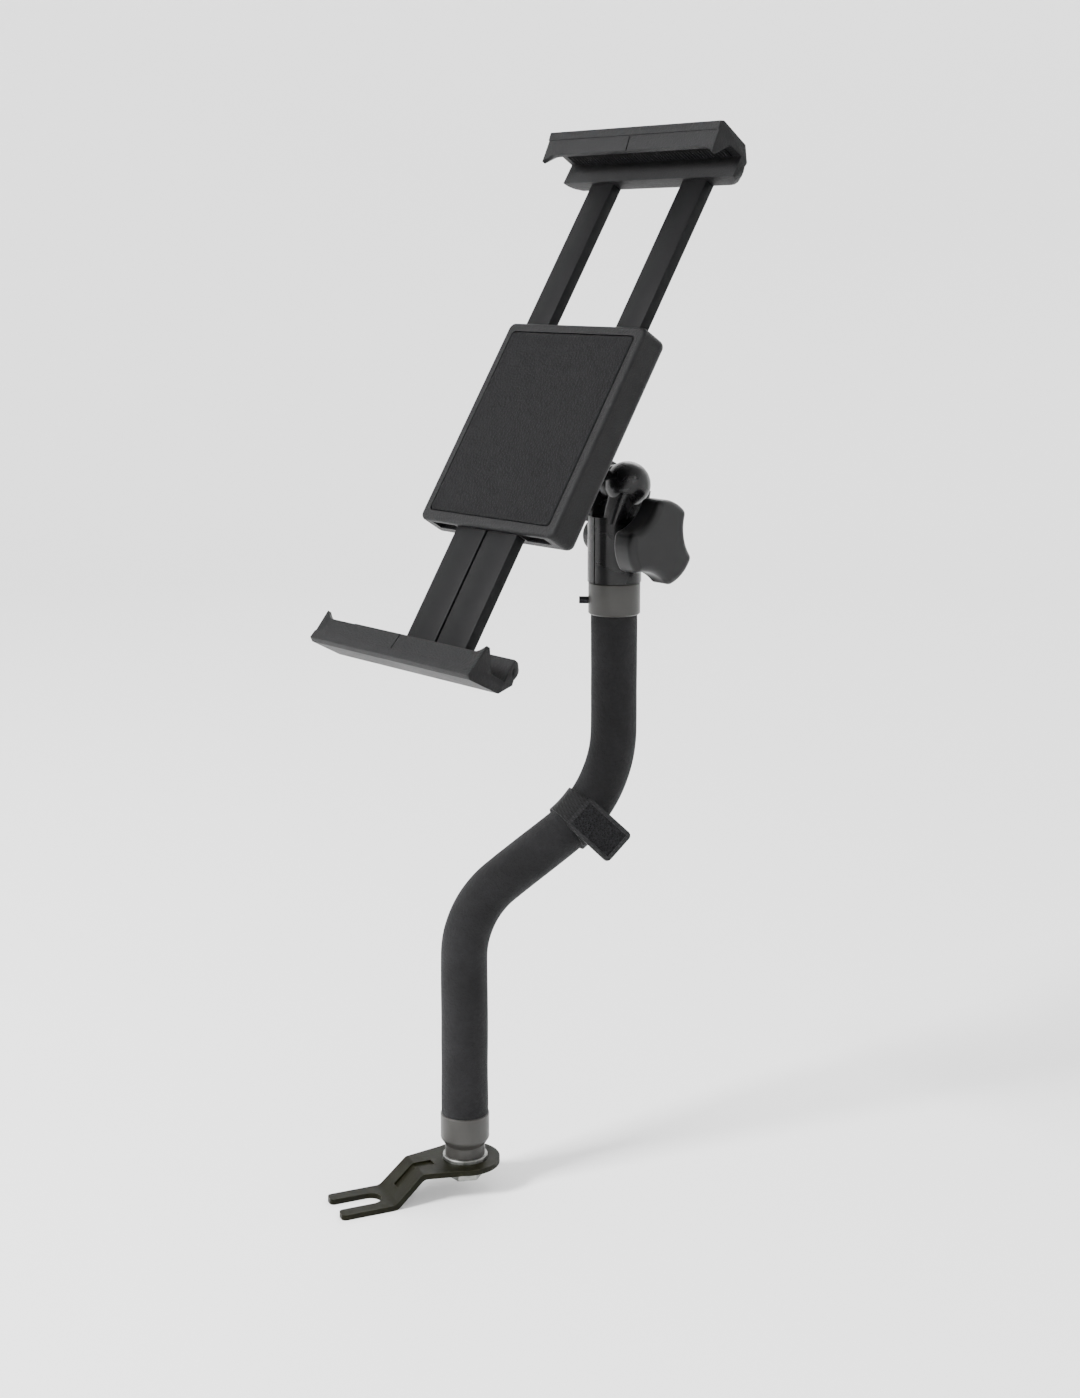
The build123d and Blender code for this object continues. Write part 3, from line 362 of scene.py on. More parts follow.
def powder_coat(name, base):
    """Powder coat on pressed plate, lighter along its edges: partly worn metal and partly a painted highlight where the
    edges catch light.
    """
    made, tree, skin, place = start_material(name, base, 0.45, 1.5, 0.08)
    # Orange peel 1.9 mm across, and a lighter edge colour in patches of 7 mm that keeps to the outer 0.6 mm of the
    # edges, worn metal and painted highlight in one
    peel = noise(tree, place, 520, 3)
    patches = noise(tree, place, 140, 5, Roughness=0.7)
    flat = add_node(tree, "ShaderNodeNewGeometry").outputs["Normal"]
    round_edge = add_node(tree, "ShaderNodeBevel", {"Radius": 0.0006}, samples=6).outputs["Normal"]
    turn = add_node(tree, "ShaderNodeVectorMath", {0: flat, 1: round_edge}, operation="DOT_PRODUCT")
    # 0 where the surface is flat, 1 where the rounded normal leans 26 degrees or more away
    edge = add_node(
        tree, "ShaderNodeMapRange", {"Value": turn.outputs["Value"], "From Min": 0.99, "From Max": 0.9}
    ).outputs["Result"]
    # Painted highlight along the edges, mixed with real wear: where this mask is set, the paint turns to a lighter
    # metal colour
    edge_highlight_and_wear = multiply(tree, edge, patches)
    paint = add_node(tree, "ShaderNodeValToRGB", {"Fac": patches})
    paint.color_ramp.elements[0].position, paint.color_ramp.elements[1].position = 0.35, 0.7
    paint.color_ramp.elements[0].color, paint.color_ramp.elements[1].color = shades(base, 0.75, 1.35)
    # Sockets 6 and 7 are the mix's two colours: paint, and the lighter edge colour, worn metal and painted highlight in
    # one
    mixed = add_node(
        tree, "ShaderNodeMix", {"Factor": edge_highlight_and_wear, 6: paint.outputs["Color"], 7: (*linear("#2f2e24"), 1)}, data_type="RGBA"
    )
    tree.links.new(mixed.outputs[2], skin.inputs["Base Color"])
    roughen(tree, skin, patches, 0.36, 0.58)
    relief(tree, skin, peel, 0.00008, 0.6)
    return made


def zinc_plate(name, base):
    """Bright zinc on turned steel: a metal with fine rings from the lathe and a few dull spots."""
    made, tree, skin, place = start_material(name, base, 0.36, metallic=1.0)
    # Dull spots 3 mm across and finer, and lathe rings 1.2 mm apart
    spots = noise(tree, place, 320, 5, Roughness=0.7)
    rings = add_node(tree, "ShaderNodeTexWave", {"Vector": place, "Scale": 260, "Distortion": 2}, bands_direction="Z")
    tint(tree, skin, spots, base, 0.72, 1.1)
    roughen(tree, skin, spots, 0.26, 0.5)
    relief(tree, skin, rings.outputs["Fac"], 0.00003, 0.4)
    return made


def black_oxide(name, base):
    """Oil-blacked steel fasteners: dark metal with a dull sheen."""
    made, tree, skin, place = start_material(name, base, 0.4, metallic=1.0)
    # Oil marks 1.3 mm across
    oil = noise(tree, place, 800, 4)
    tint(tree, skin, oil, base, 0.75, 1.3)
    roughen(tree, skin, oil, 0.3, 0.55)
    return made


def studio_paper(name, base):
    """Matte paper roll of the studio's floor and wall."""
    made, tree, skin, place = start_material(name, base, 0.9, 1.4)
    # Clouds 170 mm across in the paper
    fibre = noise(tree, place, 6, 3)
    tint(tree, skin, fibre, base, 0.995, 1.0)
    return made


# ---------------------------------------------------------------- modelling helpers

def clear_selection():
    bpy.ops.object.select_all(action="DESELECT")


def edit():
    """Enters edit mode with everything selected."""
    bpy.ops.object.mode_set(mode="EDIT")
    bpy.ops.mesh.select_all(action="SELECT")


def leave_edit():
    bpy.ops.object.mode_set(mode="OBJECT")


def clean_mesh():
    """Merges what a bevel leaves on one spot, and drops faces without area."""
    edit()
    bpy.ops.mesh.remove_doubles(threshold=2e-6)
    bpy.ops.mesh.dissolve_degenerate(threshold=2e-6)
    leave_edit()


def finish_piece(name, body, materials, replaced, smooth=35):
    """Names the active object, places it in its mesh, smooths it, and hangs it on its body."""
    piece = bpy.context.object
    clean_mesh()
    piece.name = name
    piece.data.name = name
    bpy.ops.object.transform_apply(location=True, rotation=True, scale=True)
    bpy.ops.object.shade_smooth_by_angle(angle=math.radians(smooth))
    piece.data.materials.clear()
    for material in materials:
        piece.data.materials.append(material)
    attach(piece, body)
    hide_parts(*replaced)
    piece.select_set(False)
    return piece


def start_block(primitive, *scale):
    """A cube or plane of this size, with its size in its mesh."""
    clear_selection()
    primitive(size=1)
    block = bpy.context.object
    block.scale = scale
    bpy.ops.object.transform_apply(location=False, rotation=False, scale=True)
    return block


def select_parts(mode, kind, test):
    """Selects, in edit mode, the points, edges or faces of the active mesh that pass the test."""
    bpy.ops.mesh.select_mode(type=mode)
    bpy.ops.mesh.select_all(action="DESELECT")
    leave_edit()
    for part in getattr(bpy.context.object.data, kind):
        part.select = test(part)
    bpy.ops.object.mode_set(mode="EDIT")


def select_points(test):
    select_parts("VERT", "vertices", lambda point: test(point.co))


def select_edges(test):
    """Selects the edges whose two ends pass the test."""
    mesh = bpy.context.object.data
    select_parts("EDGE", "edges", lambda edge: test(*(mesh.vertices[index].co for index in edge.vertices)))


def select_faces(test):
    """Selects the faces whose centre and normal pass the test."""
    select_parts("FACE", "polygons", lambda face: test(face.center, face.normal))


def pull(*way):
    """Extrudes what is selected."""
    bpy.ops.mesh.extrude_region_move(TRANSFORM_OT_translate={"value": way})


def close_holes():
    """Fills the open loops of the active mesh, in edit mode."""
    bpy.ops.mesh.select_mode(type="EDGE")
    bpy.ops.mesh.select_all(action="DESELECT")
    bpy.ops.mesh.select_non_manifold(use_wire=False, use_multi_face=False, use_non_contiguous=False, use_verts=False)
    bpy.ops.mesh.fill_holes(sides=0)


def face_outwards(weld=0.0):
    """Merges points closer than weld, and turns every face outwards, in edit mode."""
    bpy.ops.mesh.select_all(action="SELECT")
    if weld:
        bpy.ops.mesh.remove_doubles(threshold=weld)
    bpy.ops.mesh.normals_make_consistent(inside=False)


def turn_to(x_dir, z_dir):
    """Euler angles that turn a primitive's own x and z axes to these directions."""
    z_dir = z_dir.normalized()
    y_dir = z_dir.cross(x_dir).normalized()
    x_dir = y_dir.cross(z_dir)
    return Matrix((x_dir, y_dir, z_dir)).transposed().to_euler()


def apply_modifier(kind, **settings):
    """Adds a modifier to the active object and applies it."""
    piece = bpy.context.object
    made = piece.modifiers.new(kind.title(), kind)
    for name, value in settings.items():
        setattr(made, name, value)
    bpy.ops.object.modifier_apply(modifier=made.name)


def round_edges(width, segments, angle):
    """Rounds the edges of the active object that are sharper than an angle."""
    apply_modifier("BEVEL", width=width, segments=segments, limit_method="ANGLE", angle_limit=math.radians(angle))


def cut_away(piece, cutter):
    """Cuts one object's shape out of another, and drops the cutter."""
    bpy.context.view_layer.objects.active = piece
    apply_modifier("BOOLEAN", object=cutter, operation="DIFFERENCE", solver="EXACT")
    bpy.data.objects.remove(cutter)
    piece.select_set(True)


def node_span(name, direction):
    """Lowest and highest reach of a CAD node along a direction."""
    reach = [vertex.co.dot(direction) for vertex in nodes[name].data.vertices]
    return min(reach), max(reach)


def node_block(name):
    """Middle of a CAD node, and its size across, up and out of the holder."""
    axes = (right_dir, up_dir, front_dir)
    spans = [node_span(name, axis) for axis in axes]
    middle = sum((axis * sum(span) / 2 for axis, span in zip(axes, spans)), Vector())
    return middle, [high - low for low, high in spans]


# ---------------------------------------------------------------- pieces

class MOUNT_OT_finish_nodes(bpy.types.Operator):
    """Gives every carried-over CAD node its finish"""
    bl_idname = "mount.finish_nodes"
    bl_label = "Finish the hard parts"

    def execute(self, context):
        colours = context.scene.mount_colours
        abs_grain = textured_abs("textured_abs", colours.housing)
        rail_coat = painted_rail("satin_powder_coat", colours.rails)
        enamel_grey = enamel("stoved_grey_enamel", colours.collar)
        enamel_black = enamel("stoved_black_enamel", linear("#0e0e0f"))
        nylon = gloss_nylon("polished_nylon", colours.clamp)
        knob_nylon = gloss_nylon("moulded_knob_nylon", colours.knob, 0.4)
        coat = powder_coat("olive_powder_coat", colours.fork)
        zinc = zinc_plate("bright_zinc", linear("#858683"))
        oxide = black_oxide("black_oxide", linear("#1f1f21"))
        spring = zinc_plate("spring_steel", linear("#9fa0a2"))
        rubber = facing_rubber("facing_rubber", colours.pad)
        foam = foam_sleeve("foam_rubber", colours.sleeve)
        tape = woven_nylon("woven_nylon", colours.strap)
        finishes = {
            "fork_paint": coat, "bright_steel": zinc, "collar_grey": enamel_grey, "tube_black": enamel_black,
            "sleeve_black": foam, "strap_black": tape, "dark_screw": oxide, "clamp_black": nylon,
            "knob_black": knob_nylon, "spring_steel": spring, "housing_black": abs_grain, "pad_black": rubber,
            "rail_black": rail_coat,
        }
        for part in frame["record"]["subparts"]:
            for slot in nodes[part["node"]].material_slots:
                slot.material = finishes[part["material_slot"]]
        return {"FINISHED"}


class MOUNT_OT_add_sleeve(bpy.types.Operator):
    """Foam sleeve: a ring drawn up the pole and spun through its two bends"""
    bl_idname = "mount.add_sleeve"
    bl_label = "Foam sleeve"

    def execute(self, context):
        size = context.scene.mount_sleeve
        low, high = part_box("pole_sleeve")

        def draw(direction, distance, steps):
            for _ in range(steps):
                pull(*(direction * (distance / steps)))

        rim = 0.0005  # rounding of the sleeve's cut ends
        clear_selection()
        bpy.ops.mesh.primitive_circle_add(
            vertices=48, radius=size.radius - size.unevenness / 2, location=(base_point.x, base_point.y, low.z)
        )
        edit()
        # The slanted stretch takes what the two bends leave of the offset between base and neck
        offset = (neck_point - base_point).to_2d().length
        radii = size.lower_radius + size.upper_radius
        slant = (offset - radii * (1 - math.cos(size.bend))) / math.sin(size.bend)
        draw(upright, size.lower_straight, 11)
        start = Vector((base_point.x, base_point.y, low.z + size.lower_straight))
        bpy.ops.mesh.spin(steps=14, angle=size.bend, center=start + arm_dir * size.lower_radius, axis=side_dir)
        draw(arm_dir * math.sin(size.bend) + upright * math.cos(size.bend), slant, 6)
        end = Vector((neck_point.x, neck_point.y, high.z - size.upper_straight))
        bpy.ops.mesh.spin(steps=18, angle=size.bend, center=end - arm_dir * size.upper_radius, axis=-side_dir)
        draw(upright, size.upper_straight, 8)
        face_outwards(weld=1e-6)
        leave_edit()
        # Foam is never quite even: it wanders in clouds of 22 mm
        clouds = bpy.data.textures.new("foam_clouds", "CLOUDS")
        clouds.noise_scale = 0.022
        apply_modifier("DISPLACE", texture=clouds, strength=size.unevenness, mid_level=0.5, texture_coords="GLOBAL")
        apply_modifier("SOLIDIFY", thickness=size.wall, offset=-1)
        round_edges(rim, 2, 50)
        apply_modifier("SUBSURF", levels=1, render_levels=1)
        foam = bpy.data.materials["foam_rubber"]
        finish_piece("foam_sleeve", "pole", [foam], ["pole_sleeve"], smooth=60)
        return {"FINISHED"}


class MOUNT_OT_add_strap(bpy.types.Operator):
    """Cable strap: a woven band round the sleeve, with a bound hook-and-loop tab"""
    bl_idname = "mount.add_strap"
    bl_label = "Cable strap"

    def execute(self, context):
        size = context.scene.mount_sleeve
        top_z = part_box("pole_sleeve")[1].z - size.upper_straight
        centre = Vector((neck_point.x, neck_point.y, top_z)) - arm_dir * size.upper_radius
        span = size.strap_width / size.upper_radius

        def on_bend(slope):
            return centre + (arm_dir * math.cos(slope) - upright * math.sin(slope)) * size.upper_radius

        def along(slope):
            return arm_dir * math.sin(slope) + upright * math.cos(slope)

        band_edge, tab_edge = 0.0004, 0.0003  # rounding of the edges
        first = size.strap_slope + span / 2
        clear_selection()
        bpy.ops.mesh.primitive_circle_add(
            vertices=64, radius=size.radius + size.strap_thickness, location=on_bend(first),
            rotation=turn_to(side_dir, along(first)),
        )
        edit()
        bpy.ops.mesh.spin(steps=10, angle=span, center=centre, axis=-side_dir)
        face_outwards(weld=1e-6)
        leave_edit()
        apply_modifier("SOLIDIFY", thickness=size.strap_thickness, offset=-1)
        round_edges(band_edge, 2, 50)
        tape = bpy.data.materials["woven_nylon"]
        binding = woven_nylon("nylon_binding", linear("#161617"))
        finish_piece("strap_band", "pole", [tape], ["cable_strap"], smooth=50)

        # The tab: a flat block, its corners rounded, its faces inset and sunk for the hook pile, its free end bent
        middle, tab_along = on_bend(size.strap_slope), along(size.strap_slope)
        face = Matrix.Rotation(-size.tab_turn, 3, tab_along) @ side_dir
        across = face.cross(tab_along)
        corner = size.tab_border * 1.15
        sink = size.tab_thickness * 0.22
        tab = start_block(bpy.ops.mesh.primitive_cube_add, size.strap_width, size.tab_length, size.tab_thickness)
        edit()
        select_edges(lambda a, b: abs(a.z - b.z) > size.tab_thickness / 2)
        bpy.ops.mesh.bevel(offset=corner, segments=5)
        for way in (1, -1):
            select_faces(lambda spot, normal: normal.z * way > 0.9)
            bpy.ops.mesh.inset(thickness=size.tab_border)
            pull(0, 0, -way * sink)
            leave_edit()
            for polygon in tab.data.polygons:
                if polygon.select:
                    polygon.material_index = 1
            bpy.ops.object.mode_set(mode="EDIT")
        # Cuts across the tab, so that it can bend
        for step in range(-4, 5):
            bpy.ops.mesh.select_all(action="SELECT")
            bpy.ops.mesh.bisect(plane_co=(0, step * size.tab_length / 10, 0), plane_no=(0, 1, 0))
        leave_edit()
        round_edges(tab_edge, 2, 40)
        apply_modifier("SIMPLE_DEFORM", deform_method="BEND", deform_axis="X", angle=size.tab_bend)
        # The tab's fast end laps onto the band by 3 mm, sunk into it by half the band's thickness
        lap = 0.003
        tab.location = middle + face * (size.radius + size.strap_thickness * 0.5 + size.tab_thickness / 2)
        tab.location += across * (lap - size.tab_length / 2)
        tab.rotation_euler = turn_to(tab_along, face)
        clean_mesh()
        indices = [polygon.material_index for polygon in tab.data.polygons]
        pile = hook_pile("hook_pile", linear("#131314"))
        piece = finish_piece("strap_tab", "pole", [binding, pile], ["cable_strap"], smooth=40)
        piece.data.polygons.foreach_set("material_index", indices)
        return {"FINISHED"}


class MOUNT_OT_add_facings(bpy.types.Operator):
    """Rubber facings: the holder's face pad and the ribbed strips in both jaws"""
    bl_idname = "mount.add_facings"
    bl_label = "Rubber facings"

    def execute(self, context):
        size = context.scene.mount_face
        rubber = bpy.data.materials["facing_rubber"]
        middle, (width, height, depth) = node_block("holder_pad")
        margin = size.pad_edge * 1.4  # flat ring that the front edge's rounding needs
        pad = start_block(bpy.ops.mesh.primitive_plane_add, width - 2 * size.pad_gap, height - 2 * size.pad_gap, 1)
        edit()
        bpy.ops.mesh.bevel(offset=size.pad_corner, segments=6, affect="VERTICES")
        pull(0, 0, depth)
        bpy.ops.mesh.inset(thickness=margin, depth=0)
        close_holes()
        face_outwards()
        leave_edit()
        round_edges(size.pad_edge, 3, 50)
        pad.location = middle - front_dir * depth / 2
        pad.rotation_euler = turn_to(right_dir, front_dir)
        finish_piece("face_pad", "holder", [rubber], ["holder_pad"])

        # A jaw's strip: one rib on its base, repeated along the strip, with the walls between copies taken out
        for jaw, body, way in (("upper_jaw", "upper_arm", 1), ("lower_jaw", "lower_arm", -1)):
            middle, (width, depth, height) = node_block(jaw + "_pad")
            count = round(width / size.rib_pitch)
            pitch = width / count
            shoulder = pitch * 0.18  # flat stretch on each side of a rib
            taper = (0.7, 0.97, 1)  # a rib's top against its foot
            rib = start_block(bpy.ops.mesh.primitive_cube_add, pitch, height, depth - size.rib_height)
            edit()
            select_faces(lambda spot, normal: normal.z > 0.9)
            bpy.ops.mesh.inset(thickness=shoulder)
            pull(0, 0, size.rib_height)
            bpy.ops.transform.resize(value=taper)
            wall_top = depth / 2 - size.rib_height / 2
            select_faces(lambda spot, normal: abs(normal.x) > 0.9 and abs(spot.z) < wall_top)
            bpy.ops.mesh.delete(type="FACE")
            leave_edit()
            apply_modifier(
                "ARRAY", count=count, relative_offset_displace=(1, 0, 0), use_merge_vertices=True,
                merge_threshold=1e-5,
            )
            edit()
            close_holes()
            face_outwards()
            leave_edit()
            rib.rotation_euler = turn_to(right_dir * way, -up_dir * way)
            rib.location = middle - right_dir * way * (width / 2 - pitch / 2) + up_dir * way * size.rib_height / 2
            finish_piece(jaw + "_strip", body, [rubber], [jaw + "_pad"], smooth=25)
        return {"FINISHED"}


class MOUNT_OT_add_rails(bpy.types.Operator):
    """Rails: flat bars with eased edges and a row of short notches in their backs"""
    bl_idname = "mount.add_rails"
    bl_label = "Rails"

    def execute(self, context):
        size = context.scene.mount_jaws
        coat = bpy.data.materials["satin_powder_coat"]
        for end in ("upper", "lower"):
            for side in ("left", "right"):
                node = end + "_rail_" + side
                middle, (width, height, depth) = node_block(node)
                rail = start_block(bpy.ops.mesh.primitive_cube_add, width, height, depth)
                apply_modifier("BEVEL", width=size.edge, segments=2)
                # The notches: one cutter, repeated up the back, without the first and last of the row
                count = int(height / size.notch_pitch) - 2
                bpy.ops.mesh.primitive_cube_add(
                    size=1, scale=(size.notch_span, size.notch_width, 2 * size.notch_depth),
                    location=(0, -(count - 1) / 2 * size.notch_pitch, -depth / 2),
                )
                cutter = context.object
                bpy.ops.object.transform_apply(location=True, rotation=False, scale=True)
                apply_modifier(
                    "ARRAY", count=count, use_relative_offset=False, use_constant_offset=True,
                    constant_offset_displace=(0, size.notch_pitch, 0),
                )
                cut_away(rail, cutter)
                rail.rotation_euler = turn_to(right_dir, front_dir)
                rail.location = middle
                finish_piece(end + "_bar_" + side, end + "_arm", [coat], [node], smooth=30)
        return {"FINISHED"}


class MOUNT_OT_add_jaws(bpy.types.Operator):
    """Jaws: a profile drawn round and pulled to length, with a seam, horns and rounded backs"""
    bl_idname = "mount.add_jaws"
    bl_label = "Jaws"

    def execute(self, context):
        size = context.scene.mount_jaws
        grain = bpy.data.materials["textured_abs"]
        # The profile is drawn up the jaw and out from the holder's face, from the floor of the jaw's groove
        crown = 0.0015  # how far the roof falls towards its front and its back
        chamfer = 0.003  # lower end of the slope at the block's back
        behind = 0.0005  # room between the block and the face
        root = 0.009  # where the inside of the lip starts
        lip_zone = 0.012  # all that stands further out is lip
        near, tip = 1e-5, 1e-4  # how close two places count as one
        for end, way in (("upper", 1), ("lower", -1)):
            node = end + "_jaw"
            middle, (width, height, depth) = node_block(node)
            block = height - size.roof
            back = size.lip_front - depth
            brow = size.roof - crown
            lean = size.lip_rake * size.band / (brow + size.lip_drop)
            face = size.lip_front - size.step
            profile = [
                (-block, back), (-chamfer, back), (0, back / 2), (brow, 0),
                (size.roof, size.lip_front - size.lip_rake), (size.roof - crown, size.lip_front),
                (brow - size.band, size.lip_front - lean), (brow - size.band, face - lean),
                (-size.lip_drop, face - size.lip_rake),
                (-size.lip_drop, size.lip_front - size.lip_rake - size.lip_thickness),
                (0, root), (0, -behind), (-block, -behind),
            ]
            # One corner, drawn round the profile, closed, and pulled to the jaw's length
            clear_selection()
            bpy.ops.mesh.primitive_plane_add(size=0.001)
            jaw = context.object
            edit()
            bpy.ops.mesh.select_mode(type="VERT")
            bpy.ops.mesh.select_all(action="SELECT")
            bpy.ops.mesh.merge(type="CENTER")
            bpy.ops.transform.translate(value=(-width / 2, *profile[0]))
            for before, after in zip(profile, profile[1:]):
                pull(0, after[0] - before[0], after[1] - before[1])
            bpy.ops.mesh.select_all(action="SELECT")
            bpy.ops.mesh.edge_face_add()
            pull(width, 0, 0)
            close_holes()
            face_outwards()

            # The block's back: its long edges and its upright corners
            select_edges(lambda a, b: abs(a.x - b.x) > width / 2 and a.z < back + near)
            bpy.ops.mesh.bevel(offset=size.edge * 4, segments=4)
            select_edges(
                lambda a, b: abs(a.x - b.x) < near and abs(a.x) > width / 2 - near and max(a.z, b.z) < back / 2 - near
            )
            bpy.ops.mesh.bevel(offset=size.back_corner, segments=6)

            # The horns: cuts near the lip's ends, each pulled further than the last
            steps, curl = 4, 1.7
            cuts = [width / 2 - size.horn_length * (1 - cut / steps) for cut in range(steps + 1)]
            for place in cuts[:-1]:
                for side in (-1, 1):
                    bpy.ops.mesh.select_all(action="SELECT")
                    bpy.ops.mesh.bisect(plane_co=(side * place, 0, 0), plane_no=(1, 0, 0))
            for cut, place in enumerate(cuts[1:], 1):
                select_points(
                    lambda at: at.z > lip_zone and at.y < -size.lip_drop + tip and abs(abs(at.x) - place) < tip
                )
                bpy.ops.transform.translate(value=(0, -size.horn * (cut / steps) ** curl, 0))
            face_outwards(weld=tip)
            leave_edit()
            round_edges(size.edge, 3, 35)
            clean_mesh()

            # The seam: a thin groove down the lip's raked face, from the band to its tip
            top = brow - size.band
            rake = math.atan2(size.lip_rake - lean, top + size.lip_drop)
            run = top + 2 * size.lip_drop
            bpy.ops.mesh.primitive_cube_add(
                size=1, location=(0, top - run / 2, face - lean - run / 2 * math.tan(rake)), rotation=(rake, 0, 0),
                scale=(size.seam, run, 2 * size.seam),
            )
            cut_away(jaw, context.object)
            # The holder's face plane and the groove's floor, from the node's own reach
            out = node_span(node, front_dir)[1] - size.lip_front
            floor = node_span(node, up_dir)[1 if way > 0 else 0] - way * size.roof
            jaw.rotation_euler = Matrix((right_dir * way, up_dir * way, front_dir)).transposed().to_euler()
            jaw.location = right_dir * middle.x + up_dir * floor + front_dir * out
            finish_piece(end + "_hook", end + "_arm", [grain], [node], smooth=30)
        return {"FINISHED"}


class MOUNT_OT_add_screws(bpy.types.Operator):
    """Small cross-head screws in place of the plain ones"""
    bl_idname = "mount.add_screws"
    bl_label = "Small screws"

    def execute(self, context):
        size = context.scene.mount_face
        oxide = bpy.data.materials["black_oxide"]
        for node, body, head in (
            ("housing_screws", "holder", 0.0028), ("swivel_screws", "holder", 0.0021),
            ("upper_jaw_screws", "upper_arm", 0.003), ("lower_jaw_screws", "lower_arm", 0.003),
        ):
            # The node's points, laid flat, fall into one cluster per screw, and a cluster's mean is its place
            low, high = node_span(node, front_dir)
            clusters = []
            flat_points = [
                vertex.co - front_dir * (vertex.co.dot(front_dir) - low) for vertex in nodes[node].data.vertices
            ]
            for flat in flat_points:
                if all((flat - cluster[0]).length > 3 * head for cluster in clusters):
                    clusters.append([flat, Vector(), 0])
            for flat in flat_points:
                nearest = min(clusters, key=lambda cluster: (flat - cluster[0]).length)
                nearest[1] += flat
                nearest[2] += 1
            # Proportions of a head and its shank, by the head's radius
            thick, dome, shank, slot = head * 0.5, head * 0.3, head * 0.48, head * 1.1
            clear_selection()
            copies = []
            for _, total, number in clusters:
                # Head and shank: a disc, drawn up as a low dome, and its back drawn out as the shank
                bpy.ops.mesh.primitive_cylinder_add(vertices=28, radius=head, depth=thick)
                screw = context.object
                edit()
                select_faces(lambda spot, normal: normal.z > 0.9)
                bpy.ops.mesh.bevel(offset=dome, segments=3)
                select_faces(lambda spot, normal: normal.z < -0.9)
                bpy.ops.mesh.inset(thickness=shank)
                pull(0, 0, -(high - low) + thick)
                leave_edit()
                # The cross: two slots, turned 20 degrees, as a driver leaves them
                for turn in (20, 110):
                    bpy.ops.mesh.primitive_cube_add(
                        size=1, location=(0, 0, thick / 2), rotation=(0, 0, math.radians(turn)),
                        scale=(slot, size.cross_width, thick),
                    )
                    cut_away(screw, context.object)
                screw.rotation_euler = turn_to(right_dir, -front_dir)
                screw.location = total / number + front_dir * thick / 2
                bpy.ops.object.transform_apply(location=True, rotation=True, scale=True)
                copies.append(screw)
            for screw in copies:
                screw.select_set(True)
            context.view_layer.objects.active = copies[0]
            bpy.ops.object.join()
            finish_piece(node.replace("screws", "cross_screws"), body, [oxide], [node], smooth=30)
        return {"FINISHED"}


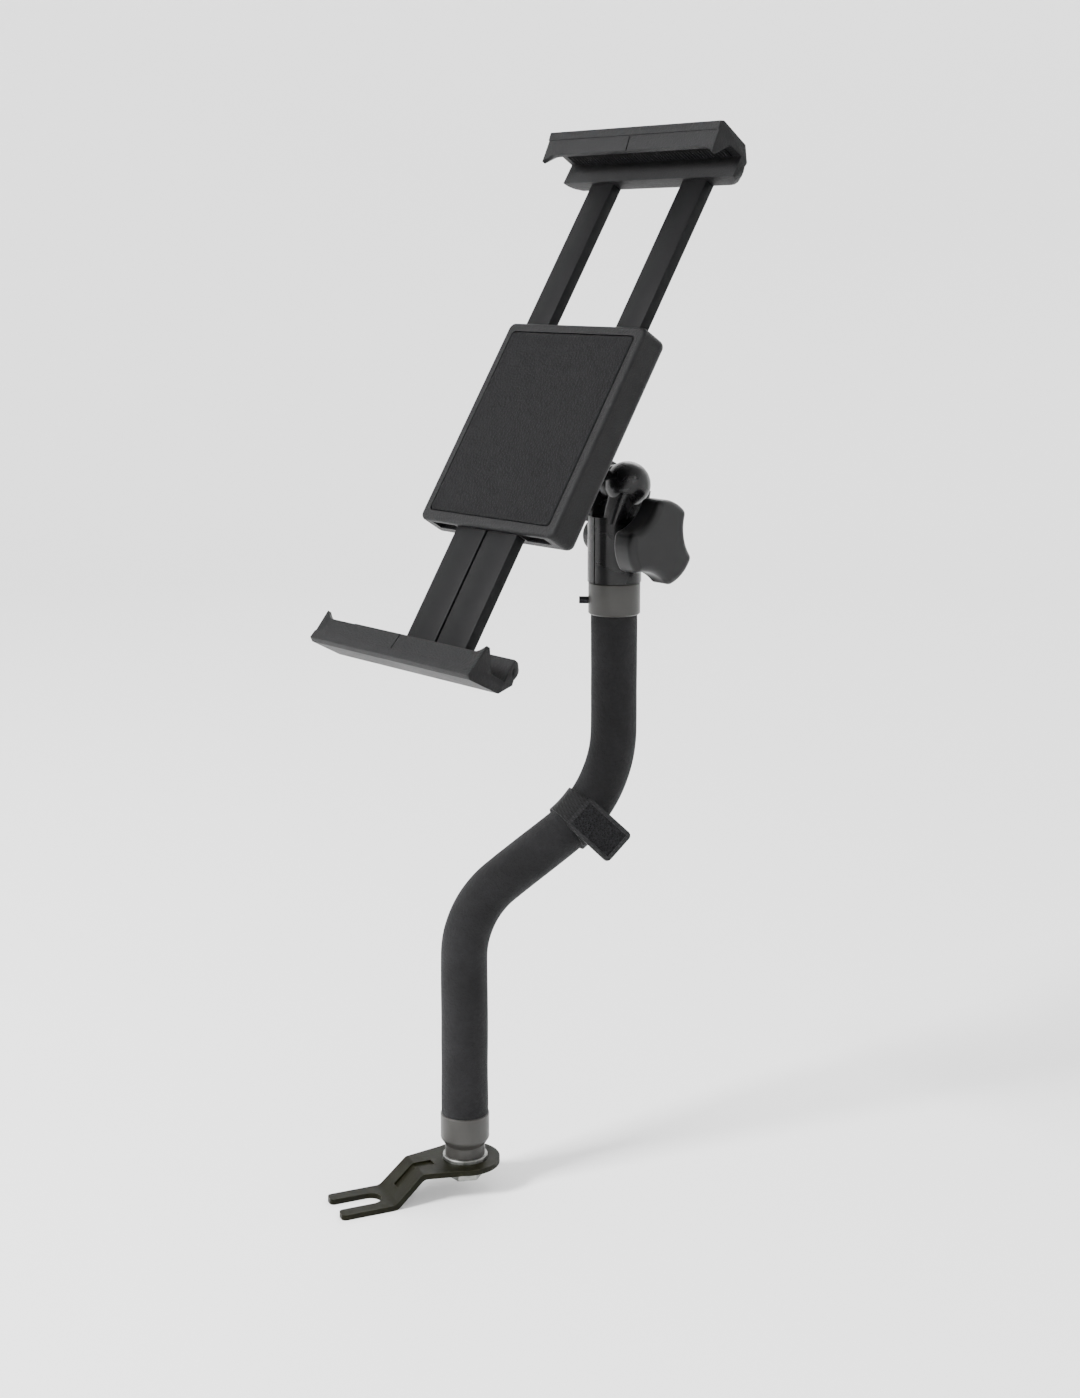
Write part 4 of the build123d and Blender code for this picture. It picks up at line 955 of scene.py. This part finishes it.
class MOUNT_OT_add_stage(bpy.types.Operator):
    """Studio: a pale bowl-shaped stage, soft lights and the camera"""
    bl_idname = "mount.add_stage"
    bl_label = "Studio"

    def execute(self, context):
        studio = context.scene.mount_studio
        clear_selection()
        # A round floor whose rim is drawn up into a wall, with a rounded corner between them
        reach, wall, corner = 3.4, 3.2, 1.2
        bpy.ops.mesh.primitive_circle_add(vertices=96, radius=reach, fill_type="NGON")
        stage = context.object
        stage.name = "studio_bowl"
        edit()
        pull(0, 0, wall)
        bpy.ops.mesh.delete(type="ONLY_FACE")
        bpy.ops.mesh.select_all(action="SELECT")
        bpy.ops.mesh.normals_make_consistent(inside=True)
        leave_edit()
        round_edges(corner, 12, 60)
        bpy.ops.object.shade_smooth()
        stage.data.materials.append(studio_paper("studio_paper", studio.floor))
        stage.select_set(False)

        # The lights look at the middle of the mount
        target = Vector((0.03, 0.09, 0.28))
        for name, place, power, breadth in (
            ("key_light", Vector((-0.35, -2.2, 1.75)), studio.key_power, 0.7),
            ("fill_light", Vector((2.3, -0.4, 1.3)), studio.fill_power / 2, 1.8),
            ("back_light", Vector((-1.2, 1.9, 1.9)), studio.fill_power, 1.4),
        ):
            bpy.ops.object.light_add(type="AREA", location=place)
            lamp = context.object
            lamp.name = name
            lamp.data.energy = power
            lamp.data.size = breadth
            lamp.rotation_euler = (target - place).to_track_quat("-Z", "Y").to_euler()
        world = bpy.data.worlds.new("studio_light")
        context.scene.world = world
        world.use_nodes = True
        world.node_tree.nodes["Background"].inputs["Color"].default_value = (1, 1, 1, 1)
        world.node_tree.nodes["Background"].inputs["Strength"].default_value = studio.sky

        # The photograph's view: from the front right, a little above the holder
        azimuth, pitch = math.radians(49.44), math.radians(7.44)
        focal_pixels, frame_pixels, shift_pixels = 2046, 1398, 168
        across = Vector((math.cos(azimuth), math.sin(azimuth), 0))
        away = Vector((-math.sin(azimuth), math.cos(azimuth), 0)) * math.cos(pitch) - upright * math.sin(pitch)
        bpy.ops.object.camera_add(location=(0.8524, -0.6094, 0.501), rotation=turn_to(across, -away))
        camera = context.object
        camera.name = "photograph_view"
        # The frame's long side is its height, and the sensor's width stands for it
        camera.data.sensor_width = 36
        camera.data.lens = camera.data.sensor_width * focal_pixels / frame_pixels
        camera.data.shift_y = -shift_pixels / frame_pixels
        camera.data.clip_start, camera.data.clip_end = 0.01, 50
        context.scene.camera = camera
        clear_selection()
        return {"FINISHED"}


class MOUNT_PT_panel(bpy.types.Panel):
    """Tablet mount tools"""
    bl_idname = "MOUNT_PT_panel"
    bl_label = "Tablet Mount"
    bl_space_type = "VIEW_3D"
    bl_region_type = "UI"
    bl_category = "Tablet Mount"

    def draw(self, context):
        for name, kind in groups.items():
            box = self.layout.box()
            for size in kind.__annotations__:
                box.prop(getattr(context.scene, name), size)
        for operator in operators:
            self.layout.operator(operator.bl_idname)


operators = (
    MOUNT_OT_finish_nodes, MOUNT_OT_add_sleeve, MOUNT_OT_add_strap, MOUNT_OT_add_facings, MOUNT_OT_add_rails,
    MOUNT_OT_add_jaws, MOUNT_OT_add_screws, MOUNT_OT_add_stage,
)
groups = {
    "mount_sleeve": MountSleeve, "mount_face": MountFace, "mount_jaws": MountJaws, "mount_colours": MountColours,
    "mount_studio": MountStudio,
}


def register():
    for one in (*groups.values(), *operators, MOUNT_PT_panel):
        bpy.utils.register_class(one)
    for name, group in groups.items():
        setattr(bpy.types.Scene, name, bpy.props.PointerProperty(type=group))


def unregister():
    for name in groups:
        delattr(bpy.types.Scene, name)
    for one in reversed((*groups.values(), *operators, MOUNT_PT_panel)):
        bpy.utils.unregister_class(one)


def main():
    register()
    bpy.ops.mount.finish_nodes()
    bpy.ops.mount.add_sleeve()
    bpy.ops.mount.add_strap()
    bpy.ops.mount.add_facings()
    bpy.ops.mount.add_rails()
    bpy.ops.mount.add_jaws()
    bpy.ops.mount.add_screws()
    bpy.ops.mount.add_stage()


if __name__ == "__main__":
    main()
